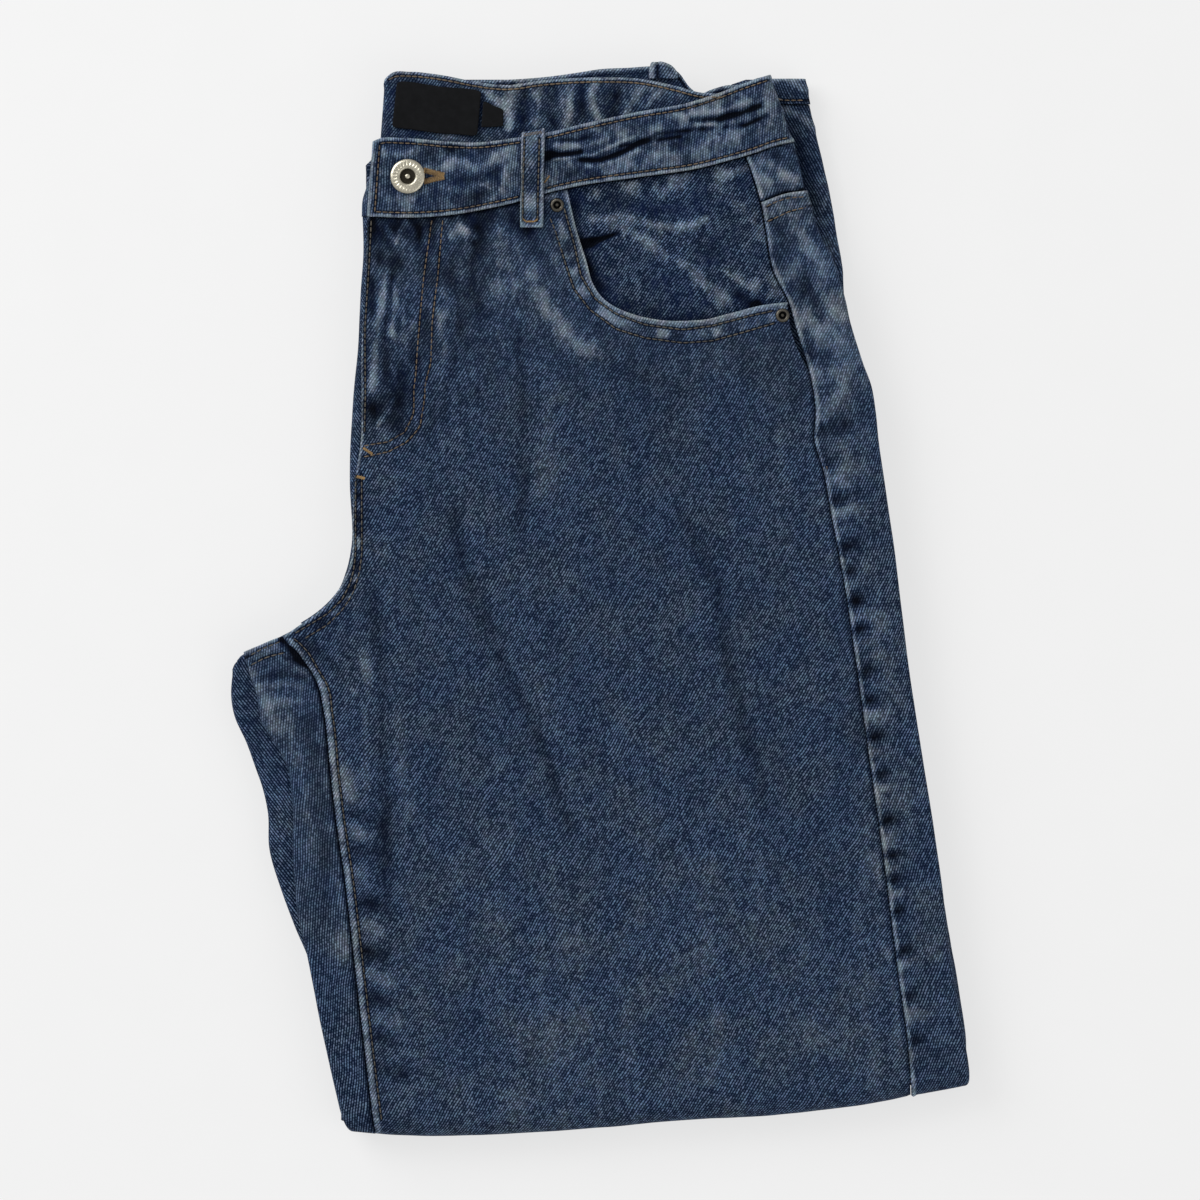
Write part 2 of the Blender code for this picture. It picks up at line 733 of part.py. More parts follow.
def button_cap():
    """The shank button's rolled rim round a hollow."""
    profile = (
        (0, 0), (6.5, 0), (7.9, 0.4), (BUTTON_RADIUS, 1.2), (8.0, 2.0), (6.6, 2.5), (5.0, 2.6), (3.9, 2.3),
        (3.5, 1.7), (3.4, BUTTON_FLOOR), (0, BUTTON_FLOOR),
    )
    return turned("button_cap", profile, (*BUTTON_AT, BUTTON_FOOT), 30, finish(PALE_METAL, 0.3, 1.0))


def button_centre():
    """The tack's end, seen in the hollow."""
    foot = BUTTON_FOOT + BUTTON_FLOOR + SEAM_GAP
    profile = ((0, 0), (1.3, 0), (1.3, 0.5), (0.9, 0.9), (0, 1.05))
    return turned("button_centre", profile, (*BUTTON_AT, foot), 16, finish(PALE_METAL, 0.25, 1.0))


def rivet(name, x, y, on_cloth):
    radius = 3.6
    profile = (
        (0, 0), (radius, 0), (radius, 0.4), (3.1, 0.95), (2.3, 1.1), (1.7, 0.8), (1.5, 0.5), (1.1, 0.55),
        (0.9, 0.9), (0, 1.05),
    )
    return turned(name, profile, (x, y, on_cloth + SEAM_GAP), 20, finish(DARK_METAL, 0.4, 1.0))


def rivets():
    for name, x, y in (("rivet_waist", -20.6, 189.2), ("rivet_side", 87.6, 136.3)):
        rivet(name, x, y, leg_height(y) + SEAM_GAP / 2)


# ---------------------------------------------------------------- the hidden layers, as one solid


def ply_edges(y):
    """Left and right edges of the three plies of the hidden layers, from the lowest up."""
    left = along(UNDER_EDGE, y)
    right = along(FOLD_EDGE, y)
    lower = mix(right, along(LOWER_EDGE, y), smooth_step(y, 120, 140))
    hidden_top = smooth_step(y, 211.1, 211.5)
    left = mix(left, mix(-107, -100, smooth_step(y, 213, 250)), hidden_top)
    beside_right_leg = smooth_step(y, -194, -191) * (1 - hidden_top)
    under_lower_leg = smooth_step(y, 121, 125)
    return (
        (left + 3.5 + math.sin(y / 37), lower - 2.6 - 0.7 * math.sin(y / 31 + 1)),
        (left + 2.6 + 0.7 * math.sin(y / 29 + 2), lower - 2.2 - 0.6 * math.sin(y / 23) - 18.5 * under_lower_leg),
        (left + 2.4 + 15 * beside_right_leg, mix(right - 2.6, 78, hidden_top)),
    )


def folded_layers():
    """The lower legs and the right leg, folded under: one solid, with each ply rounded at its edges."""
    tail_end = KNEE_MEAN + KNEE_TAIL
    nose = PILE_AT_LEG - KNEE_RADIUS - LAY_GAP
    bands_start = BACK_BANDS_FROM - 2.5
    levels = [
        KNEE_MEAN - nose, KNEE_MEAN - nose * 0.7, KNEE_MEAN, tail_end + 0.6, tail_end + 1.2,
        *rows((-220, -200, 1), (-195, -190, 1), (-172, 118, 14), (121, 125, 1), (140, bands_start, 4)),
        bands_start + 0.6, 225, 238, 250,
    ]
    bumps = ((0.0, 1.7), (0.14, 0.6), (0.5, 0.0), (0.86, 0.6), (1.0, 1.7))
    shelf = 0.15

    def section(level):
        """Bottom, top and raised middle of the solid at a level."""
        past = KNEE_MEAN - level
        if past > 0:
            half = math.sqrt(max(nose**2 - past**2, 0.4))
            return KNEE_RADIUS - half, KNEE_RADIUS + half, 0
        bottom = TOP_LEG + LAY_GAP + SEAM_GAP if level < tail_end + 1 else 0
        if level > bands_start + 0.1:
            return bottom, UNDER_BAND - BAND - LAY_GAP, 0.05
        middle = TOP_LEG - CLOTH - 2 * LAY_GAP
        middle = mix(middle, 0.5, smooth_step(level, 104, 120))
        return bottom, pile_height(level), middle * smooth_step(level, KNEE_MEAN, KNEE_MEAN + 18)

    def outline(level):
        bottom, top, middle = section(level)
        tops = (0, *PLY_TOPS, max(top, PLY_TOPS[1] + 1))
        side = []
        for ply in range(3):
            low, high = tops[ply] + (shelf if ply else 0), tops[ply + 1] - (shelf if ply < 2 else 0)
            for share, inset in bumps:
                side.append((ply, mix(low, high, share), inset))
        squeeze = [float(np.interp(z, (0, tops[-1]), (bottom, top))) if bottom > 0 else z for _, z, _ in side]
        edges = ply_edges(level)
        left = [(edges[ply][0] + inset, z) for (ply, _, inset), z in zip(side, squeeze)]
        right = [(edges[ply][1] - inset, z) for (ply, _, inset), z in zip(side, squeeze)]
        step_left = max(edges[2][0] + 3, along(INNER_EDGE, level) + 22 if level < -20 else -500)
        step_right = edges[2][1] - 20
        rebate = [
            (step_right, top), (step_right - 4, top + middle), (mix(step_left, step_right, 0.5), top + middle),
            (step_left + 4, top + middle), (step_left, top),
        ]
        end_inset = [inset if level == levels[-1] else 0 for _, _, inset in side]
        drop = end_inset + [0] * len(rebate) + end_inset[::-1]
        ring = right + rebate + left[::-1]
        return [(x, skewed(level - back, x), z) for (x, z), back in zip(ring, drop)]

    bm = bmesh.new()
    rings = [[bm.verts.new(Vector(point) * MM) for point in outline(level)] for level in levels]
    for first, second in zip(rings, rings[1:]):
        for k in range(len(first)):
            after = (k + 1) % len(first)
            bm.faces.new((first[k], first[after], second[after], second[k]))
    for ring in (rings[0], rings[-1]):
        side = (len(ring) - 5) // 2
        for k in range(side - 1):
            bm.faces.new((ring[k], ring[k + 1], ring[-2 - k], ring[-1 - k]))
        bm.faces.new(ring[side - 1 : len(ring) - side + 1])
    bmesh.ops.recalc_face_normals(bm, faces=bm.faces)
    bmesh.ops.triangulate(bm, faces=bm.faces)
    return to_object("folded_layers", bm, finish(DENIM_SHADE, 0.9))


def clear_scene():
    for obj in list(bpy.data.objects):
        bpy.data.objects.remove(obj, do_unlink=True)


def main():
    clear_scene()
    folded_layers()
    front_left()
    back_left_outseam()
    back_left_inseam()
    yoke_left()
    pocket_facing()
    front_right()
    back_right()
    lower_leg()
    lower_leg_hem()
    waistband_front_left()
    waistband_front_right()
    waistband_back_left()
    waistband_back_right()
    belt_loop_front()
    belt_loop_back()
    label("label_main", ((-99.8, 226.3), (-59, 222), (-56.9, 244.1), (-97.4, 248.9)), SEAM_GAP)
    label("label_size", ((-57, 226.5), (-46.4, 227), (-46.4, 235), (-56, 239.3)), SEAM_GAP)
    button_cap()
    button_centre()
    rivets()


main()
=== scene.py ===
# %% [markdown]
# # Folded wide leg jeans
# The pair lies flat: folded in half lengthwise with its fronts outside, then under at the knee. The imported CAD
# solids already hold every panel in place. This script dresses them: denim with a twill weave, seams, creases,
# stitches, metal trims, a floor and soft light. Tables are in millimetres, because a tailor's sizes are.

import math

import bmesh
import bpy
import numpy as np
from mathutils import Matrix, Vector
from mathutils.bvhtree import BVHTree


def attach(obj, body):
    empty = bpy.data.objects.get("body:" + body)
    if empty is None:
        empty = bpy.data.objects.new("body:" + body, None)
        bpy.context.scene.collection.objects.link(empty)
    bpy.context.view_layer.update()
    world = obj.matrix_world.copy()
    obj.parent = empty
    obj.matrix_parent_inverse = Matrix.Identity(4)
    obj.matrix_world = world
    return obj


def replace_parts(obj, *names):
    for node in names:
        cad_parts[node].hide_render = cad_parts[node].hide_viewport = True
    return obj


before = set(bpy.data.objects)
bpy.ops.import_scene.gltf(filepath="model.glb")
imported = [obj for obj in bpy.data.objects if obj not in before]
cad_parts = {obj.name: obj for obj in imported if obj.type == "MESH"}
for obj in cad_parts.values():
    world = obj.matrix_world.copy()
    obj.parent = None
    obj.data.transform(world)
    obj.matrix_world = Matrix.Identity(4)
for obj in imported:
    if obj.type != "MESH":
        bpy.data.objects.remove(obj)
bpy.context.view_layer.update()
MM = 0.001

# %% [markdown]
# ## Camera, floor and light
# A folded garment is photographed from straight above, with a long lens from far off, so that its sides hardly
# show. The lens follows from the width that the picture has to cover at the height of the cloth. Light for cloth
# is large and soft. Here one big panel stands at the upper left and a weaker one opposite, and the pale
# surroundings fill the rest.

# %% Camera
PICTURE_WIDTH = 576.0  # what the picture covers, at the height of the top leg
PICTURE_CENTRE = (0.0, -0.24)
TOP_OF_LEG = 22.0
CAMERA_AWAY = 4000.0
SENSOR = 36.0


def add_object(name, data):
    thing = bpy.data.objects.new(name, data)
    bpy.context.scene.collection.objects.link(thing)
    return thing


def make_camera():
    data = bpy.data.cameras.new("camera")
    data.sensor_width = SENSOR
    data.lens = SENSOR * CAMERA_AWAY / PICTURE_WIDTH
    data.clip_end = 20  # in metres, past the floor
    camera = add_object("camera", data)
    camera.location = Vector((*PICTURE_CENTRE, TOP_OF_LEG + CAMERA_AWAY)) * MM
    bpy.context.scene.camera = camera
    return camera


camera = make_camera()
print("lens:", round(camera.data.lens), "mm")


# %% Light
SURROUNDINGS = 0.5  # strength of the light from all round


def area_light(name, place, size, power):
    """A square panel that faces the garment: place and size in metres, power in watts."""
    data = bpy.data.lights.new(name, "AREA")
    data.size = size
    data.energy = power
    light = add_object(name, data)
    light.location = place
    light.rotation_euler = (-Vector(place)).to_track_quat("-Z", "Y").to_euler()


area_light("key_light", (-1.8, 1.5, 1.6), 2.0, 60)
area_light("fill_light", (1.9, -1.4, 2.3), 2.6, 18)

world = bpy.data.worlds.new("studio")
world.use_nodes = True
world.node_tree.nodes["Background"].inputs["Color"].default_value = (1, 1, 1, 1)
world.node_tree.nodes["Background"].inputs["Strength"].default_value = SURROUNDINGS
bpy.context.scene.world = world
bpy.context.scene.view_settings.view_transform = "Standard"

# %% [markdown]
# ## The outlines of the panels
# Each edge is a short table, read along a smooth curve. They are the same edges that the CAD panels were cut to,
# so the dressed panels meet where the solids meet.

# %% Edges of the legs: rows of (y, x)
FLY_EDGE = (
    (184, -111.6), (160, -112.6), (130, -114.7), (98, -114.5), (77, -114.7), (57, -117.6), (38, -118.8),
    (19, -119.5), (11.8, -121.9), (3.6, -126.2), (-5, -133.9), (-12.2, -144), (-17.8, -152.2),
)
INSEAM = (
    (-17.8, -152.2), (-21.4, -149.4), (-24.7, -145.7), (-30, -141.8), (-33.8, -139), (-41, -135.4), (-53, -132.7),
    (-86.6, -129), (-110.6, -126), (-134.6, -122.4), (-160, -119.4), (-189.8, -116), (-217, -112.8),
    (-245, -109.4), (-257, -107.8),
)
SIDE_SEAM = (
    (220, 66), (213, 69.5), (201.4, 73.9), (187.4, 77.8), (175.4, 79.7), (155.3, 84), (144.2, 89.8),
    (129.8, 94.1), (111.6, 99.8), (97.7, 102.7), (88.6, 103.4), (77.5, 102.6), (62.2, 107), (44.4, 110.2),
    (25.7, 113.8), (7.9, 117.1), (-31, 122.9), (-72, 128.6), (-122.6, 135.8), (-183, 143.5), (-209, 147.2),
    (-239, 149.5), (-262, 150),
)
FOLD_EDGE = (
    (219.1, 93.1), (210, 95.5), (197.5, 98.2), (188.4, 101.3), (179.3, 104.2), (173, 106.6), (163.9, 111.4),
    (148.6, 116.6), (131.8, 120.5), (113.5, 126.2), (103, 130.3), (90.5, 132.5), (76.6, 133.9), (44.9, 138.7),
    (-1.7, 144.5), (-48.2, 150.7), (-86.6, 156.5), (-125.5, 162.7), (-180.7, 169.9), (-208.6, 174.5),
    (-224, 177.1), (-262, 176),
)
INNER_EDGE = (
    (-20, -172), (-27, -170.4), (-45.4, -165.1), (-59.8, -162.2), (-70.8, -155), (-80.4, -150.2),
    (-91.4, -148.3), (-125, -147.4), (-150, -145.4), (-172.6, -140.2), (-199, -135.4), (-225.4, -129.6),
    (-250, -124), (-262, -121),
)
UNDER_EDGE = (
    (184, -114.3), (165, -113.6), (150, -114.7), (125, -116.2), (100, -118.6), (57, -120.2), (25, -119.8),
    (13, -122.4), (4, -126.2), (-5, -135), (-12, -145.5), (-18, -156), (-23, -168), (-28, -175.7),
    (-36.2, -176.9), (-47.3, -177.4), (-56.4, -175.7), (-68.4, -170.4), (-80.4, -166.1), (-91.4, -162.2),
    (-102, -159.8), (-120.2, -158.9), (-139.9, -153.1), (-157.7, -146.4), (-172.6, -140.2), (-199, -135.4),
    (-240, -126),
)
LOWER_EDGE = (
    (252, 98.4), (230.2, 102.7), (211, 107), (188.9, 111.4), (173, 114.2), (161, 116.4), (144.7, 117.6),
    (126, 120.5),
)

# %% Edges across the garment: rows of (x, y)
CROTCH_TOP = ((-178, -34), (-176, -28.6), (-172, -25.6), (-164, -21.9), (-152.2, -17.5), (-141, -17.5))
BAND_LOWER = (
    (-111.8, 183.6), (-88.3, 183.1), (-69.6, 184.6), (-51.4, 187.9), (-38.9, 190.8), (-26.4, 194.6),
    (-10.1, 198.3), (19.2, 202.6), (48, 206.9), (60, 210), (73.9, 214), (84, 217.6), (93.1, 219.6),
)
BAND_UPPER = (
    (-109, 219.6), (-106, 220.9), (-94.6, 221.3), (-73.4, 219.6), (-60.5, 219.1), (-39.4, 221.5),
    (-25.4, 223.9), (-5.3, 228.7), (19.2, 234), (40.8, 237.8), (57.6, 243.1), (66.2, 246.5), (81.6, 251.8),
)
INSIDE_UPPER = (
    (-104, 249), (-101, 252), (-91.2, 253.3), (-81.6, 252.5), (-72, 251), (-62.4, 249), (-43.2, 247),
    (-28.8, 249), (0, 250.6), (19.2, 249.9), (36.5, 246.4), (48, 243.4), (61, 243),
)
UNDER_UPPER = (
    (-88, 250), (-62, 249.4), (-48, 249.6), (-24, 251.3), (-9.6, 253.3), (0, 254.8), (12, 255.4), (31, 255.4),
    (38, 253), (43, 246.2), (48, 243), (53, 244.8), (60, 246.9), (68, 247.6), (76, 250.6), (82, 251.6),
)
YOKE_SEAM = ((74, 189.6), (78, 191), (89, 195), (98.5, 196.3), (104, 196.5))
POCKET_EDGE = (
    (-15.8, 196.6), (-11.5, 178.3), (-6.7, 163), (-3.4, 151.5), (3.4, 142.9), (15.4, 137), (30.7, 133.9),
    (49.4, 134.2), (62.9, 137.4), (76.8, 141), (90.0, 142.7),
)
KNEE_LINE = (
    (-122, -245), (-103, -246.5), (10, -242.2), (52, -238.8), (85, -236.9), (119, -233.1), (147, -228.3),
    (175, -223),
)

# %% [markdown]
# A Hermite curve passes through every row of a table and stays smooth between them. All helpers take whole
# numpy arrays, because a panel has tens of thousands of points.


# %% Read a table along a smooth curve
def mix(first, second, share):
    return first + (second - first) * share


def smooth_step(value, start, end):
    share = np.clip((np.asarray(value, float) - start) / (end - start), 0, 1)
    return share * share * (3 - 2 * share)


def bell(value, centre, half_width):
    """1 at the centre, about a third at half_width from it, and soon nothing."""
    return np.exp(-(((value - centre) / half_width) ** 2))


def along(table, at):
    ordered = sorted(table)
    keys = np.array([row[0] for row in ordered], float)
    values = np.array([row[1] for row in ordered], float)
    slopes = np.gradient(values, keys)
    at = np.clip(np.asarray(at, float), keys[0], keys[-1])
    first = np.clip(np.searchsorted(keys, at) - 1, 0, len(keys) - 2)
    span = keys[first + 1] - keys[first]
    share = (at - keys[first]) / span
    return (
        values[first] * (1 + 2 * share) * (1 - share) ** 2
        + slopes[first] * span * share * (1 - share) ** 2
        + values[first + 1] * share * share * (3 - 2 * share)
        + slopes[first + 1] * span * share * share * (share - 1)
    )


print("waistband deep at the button:", round(float(along(BAND_UPPER, -92) - along(BAND_LOWER, -92)), 1), "mm")

# %% [markdown]
# ## Heights in the pile
# Under the top leg lie the right leg and the two lower legs. The pile is a little higher at the waist, where
# there are waistbands. The top leg goes round the knee fold and ends on the surface below.

# %% Heights
CLOTH, BAND, HEM, LABEL = 1.5, 3.0, 2.6, 0.9
SEAM_GAP, LAY_GAP = 0.3, 0.4
PLY_TOPS = (5.5, 11.3)
PILE_AT_LEG, PILE_AT_WAIST, TOP_LEG = 17.0, 19.5, 5.0
BAND_STEP, BAND_LEVEL_FROM = 2.2, 200.0
INSIDE_BAND, UNDER_BAND, BACK_BANDS_FROM = 22.0, 18.4, 213.5
KNEE_RADIUS = (PILE_AT_LEG + TOP_LEG) / 2
KNEE_TURN = math.pi * KNEE_RADIUS
KNEE_TAIL, KNEE_MEAN = 9.0, -240.0
SKEW_FROM, SKEW_FULL = -60.0, -228.0
CROTCH_Y, BELOW_CROTCH, OPENING_Y = -17.8, -60.0, 110.0


def pile_height(y):
    return mix(PILE_AT_LEG, PILE_AT_WAIST, smooth_step(y, 40, 190))


def leg_height(y):
    return pile_height(y) + TOP_LEG


def band_height(y):
    return leg_height(np.minimum(y, BAND_LEVEL_FROM)) + BAND_STEP


def skewed(y, x):
    """Rows turn from level, up the leg, to parallel with the knee fold."""
    return y + (1 - smooth_step(y, SKEW_FULL, SKEW_FROM)) * (along(KNEE_LINE, x) - KNEE_MEAN)


def round_knee(x, y, z):
    """Takes a place on the straight leg round the knee fold."""
    axis_y = along(KNEE_LINE, x)
    past = axis_y - y
    reach = z - KNEE_RADIUS
    angle = np.clip(past / KNEE_RADIUS, 0, math.pi)
    beneath = np.maximum(past - KNEE_TURN, 0)
    turned_y = np.where(past > 0, axis_y - reach * np.sin(angle) + beneath, y)
    turned_z = np.where(past > 0, KNEE_RADIUS + reach * np.cos(angle), z)
    return x, turned_y, turned_z


print("top leg above the floor:", TOP_LEG + PILE_AT_LEG, "to", TOP_LEG + PILE_AT_WAIST, "mm")

# %% [markdown]
# ## Creases
# Worn denim creases where it bends and puckers beside its seams. A crease here is a row of a table: half width,
# height, how much it is rubbed pale (or, below zero, how much it stays dark, deepened with painted shade), and the
# line it follows. A low soft noise breaks up what would otherwise look drawn.


# %% Distance to a line, and soft noise
def near(points, x, y):
    """Distance to a line of points, and how far along it the nearest place is."""
    best = np.full(np.shape(x), 1e9)
    length_at = np.zeros(np.shape(x))
    run = 0.0
    for (ax, ay), (bx, by) in zip(points, points[1:]):
        step = math.hypot(bx - ax, by - ay)
        if step == 0:
            continue
        share = np.clip(((x - ax) * (bx - ax) + (y - ay) * (by - ay)) / step**2, 0, 1)
        off = np.hypot(x - ax - share * (bx - ax), y - ay - share * (by - ay))
        closer = off < best
        best = np.where(closer, off, best)
        length_at = np.where(closer, run + share * step, length_at)
        run += step
    return best, length_at


# %% Soft noise, creases and puckers
def soft_noise(x, y, size, seed):
    """Smooth values from -1 to 1 that change over about size mm."""
    u, v = x / size + seed * 17.3, y / size + seed * 9.1
    left, low = np.floor(u), np.floor(v)
    across, up = u - left, v - low
    across, up = across * across * (3 - 2 * across), up * up * (3 - 2 * up)

    def corner(right, top):
        value = np.sin((left + right) * 127.1 + (low + top) * 311.7 + seed * 74.7) * 43758.5453
        return value - np.floor(value)

    return mix(mix(corner(0, 0), corner(1, 0), across), mix(corner(0, 1), corner(1, 1), across), up) * 2 - 1


def creased(table, x, y):
    """Height in mm and the colour mark (rubbed pale above zero, painted shade below) that a table of creases adds
    at each place, a little uneven along each.
    """
    height, wear = np.zeros(np.shape(x)), np.zeros(np.shape(x))
    for half_width, rise, pale, points in table:
        shape = bell(near(points, x, y)[0], 0, half_width) * (1 + 0.4 * soft_noise(x, y, 5, 97))
        height += rise * shape
        wear += pale * shape
    return height, wear


def puckers(line, x, y, pitch, reach, seed):
    """Ripples beside a seam: their height in mm falls off over reach mm."""
    off, run = near(line, x, y)
    wave = soft_noise(run, off * 0.35, pitch, seed) + 0.5 * soft_noise(run, off * 0.5, pitch * 0.5, seed + 1)
    return wave * np.exp(-off / reach) * smooth_step(off, 0.3, 2.0)


def roping(line, x, y, pitch, reach, seed):
    """Bumps and hollows along a line of sewing, from -1 to 1."""
    off, run = near(line, x, y)
    return soft_noise(run + 0.5 * off, 0 * run, pitch, seed) * bell(off, 0, reach)


def between(first, second, count=40):
    """Points halfway between two rows of sewing."""
    rows = [np.array(spaced_out(row, 1.0), float) for row in (first, second)]
    rows = [row[np.linspace(0, len(row) - 1, count).astype(int)] for row in rows]
    return [tuple(p) for p in (rows[0] + rows[1]) / 2]


# %% Lines that seams and sewing follow
def spaced_out(points, pitch):
    """Places every pitch mm along a line of points."""
    points = np.array(points, float)
    run = np.concatenate([[0], np.cumsum(np.hypot(*np.diff(points, axis=0).T))])
    count = max(int(run[-1] / pitch), 1)
    at = np.linspace(0, run[-1], count + 1)
    return list(zip(np.interp(at, run, points[:, 0]), np.interp(at, run, points[:, 1])))


def line_of(table, start, end, count=60, swapped=True):
    """Points (x, y) along an edge table whose rows are (y, x), or (x, y) with swapped off."""
    keys = np.linspace(start, end, count)
    values = along(table, keys)
    return list(zip(values, keys)) if swapped else list(zip(keys, values))


side_seam_line = line_of(SIDE_SEAM, 214, -262, 90)
inseam_line = line_of(INSEAM, -17.8, -257, 50)
fly_line = line_of(FLY_EDGE, 184, -17.8, 50)
band_lower_line = line_of(BAND_LOWER, -111.8, 93.1, swapped=False)
band_upper_line = line_of(BAND_UPPER, -109, 81.6, swapped=False)
pocket_line = list(POCKET_EDGE)
print("side seam drawn with", len(side_seam_line), "points")

# %% [markdown]
# ## Denim
# Denim is a twill: indigo warp threads pass over white weft threads in steps, which draws slanting lines about a
# millimetre apart. Only the yarn's surface is dyed, so rubbing shows pale cores, most at ridges and seam edges.
# One node group makes that pattern from a place on the cloth in millimetres. Each denim then gives it its own
# lean and strength. The weave is a pattern with a bump, because modelling each thread would take millions of
# faces.


# %% Node helpers
def add_node(tree, kind, inputs=(), **settings):
    node = tree.nodes.new(kind)
    for key, value in settings.items():
        setattr(node, key, value)
    for key, value in dict(inputs).items():
        if isinstance(value, bpy.types.NodeSocket):
            tree.links.new(value, node.inputs[key])
        else:
            node.inputs[key].default_value = value
    return node


def maths(tree, operation, first, second=0.0, third=0.0, clamp=False):
    node = add_node(tree, "ShaderNodeMath", {0: first, 1: second, 2: third}, operation=operation, use_clamp=clamp)
    return node.outputs[0]


def ramp(tree, value, from_low, from_high, to_low=0.0, to_high=1.0, smooth=True):
    node = add_node(
        tree, "ShaderNodeMapRange",
        {0: value, 1: from_low, 2: from_high, 3: to_low, 4: to_high},
        interpolation_type="SMOOTHSTEP" if smooth else "LINEAR",
    )
    return node.outputs[0]


def blend_colour(tree, share, first, second, kind="MIX"):
    node = add_node(tree, "ShaderNodeMix", {0: share, 6: first, 7: second}, data_type="RGBA", blend_type=kind)
    return node.outputs[2]


def noise(tree, vector, scale, detail=2.0, roughness=0.5):
    inputs = {"Vector": vector, "Scale": scale, "Detail": detail, "Roughness": roughness}
    return add_node(tree, "ShaderNodeTexNoise", inputs).outputs[0]


def turn(tree, vector, angle):
    node = add_node(tree, "ShaderNodeVectorRotate", {"Vector": vector, "Angle": angle}, rotation_type="Z_AXIS")
    return node.outputs[0]


def stretch(tree, vector, factors):
    return add_node(tree, "ShaderNodeVectorMath", {0: vector, 1: factors}, operation="MULTIPLY").outputs[0]


def place_on_cut(tree):
    """The place on the flat cut, in mm."""
    place = add_node(tree, "ShaderNodeUVMap", uv_map="weave").outputs[0]
    return add_node(tree, "ShaderNodeVectorMath", {0: place, 3: 1 / MM}, operation="SCALE").outputs[0]


def place_on_object(tree):
    return add_node(tree, "ShaderNodeTexCoord").outputs["Object"]


def mark_of(tree, name):
    """A value that the mesh holds at each point."""
    return add_node(tree, "ShaderNodeAttribute", attribute_name=name).outputs["Fac"]


# %% Material and group helpers
def new_material(name, **settings):
    """A material whose shader has these inputs set. A space in an input's name is written _ here."""
    material = bpy.data.materials.new(name)
    material.use_nodes = True
    for socket, value in settings.items():
        material.node_tree.nodes["Principled BSDF"].inputs[socket.replace("_", " ")].default_value = value
    return material, material.node_tree


def dress(material, colour, roughness=None, bump=None):
    """Links what the nodes made to the shader. bump is its strength, its distance in metres and the height."""
    tree = material.node_tree
    shader = tree.nodes["Principled BSDF"]
    tree.links.new(colour, shader.inputs["Base Color"])
    if roughness is not None:
        tree.links.new(roughness, shader.inputs["Roughness"])
    if bump is not None:
        relief = add_node(tree, "ShaderNodeBump", dict(zip(("Strength", "Distance", "Height"), bump)))
        tree.links.new(relief.outputs[0], shader.inputs["Normal"])
    return material


def new_group(name, inputs, outputs):
    """A node group. inputs and outputs have a row of socket names for each kind of socket."""
    group = bpy.data.node_groups.new(name, "ShaderNodeTree")
    for side, table in (("INPUT", inputs), ("OUTPUT", outputs)):
        for kind, names in table.items():
            for socket in names.split():
                group.interface.new_socket(socket, in_out=side, socket_type="NodeSocket" + kind)
    return group, group.nodes.new("NodeGroupInput").outputs, group.nodes.new("NodeGroupOutput").inputs


# %% [markdown]
# The group works in five steps: find the twill line and the thread at this place, turn wash, wear and the painted
# shade of hollows and stitch lines into one value for how faded the cloth looks, pick the ground and the pale thread
# for that value, mix them, and darken hollows and the cloth beside stitches further with painted shade.

# %% The denim node group
WORN_GROUND = (0.16, 0.19, 0.215, 1)
WORN_WEFT = (0.4, 0.44, 0.48, 1)
PALE_FLOOR = 0.28  # the share of pale thread that shows where the twill can't be told
SLUB_ANGLE = math.radians(34)


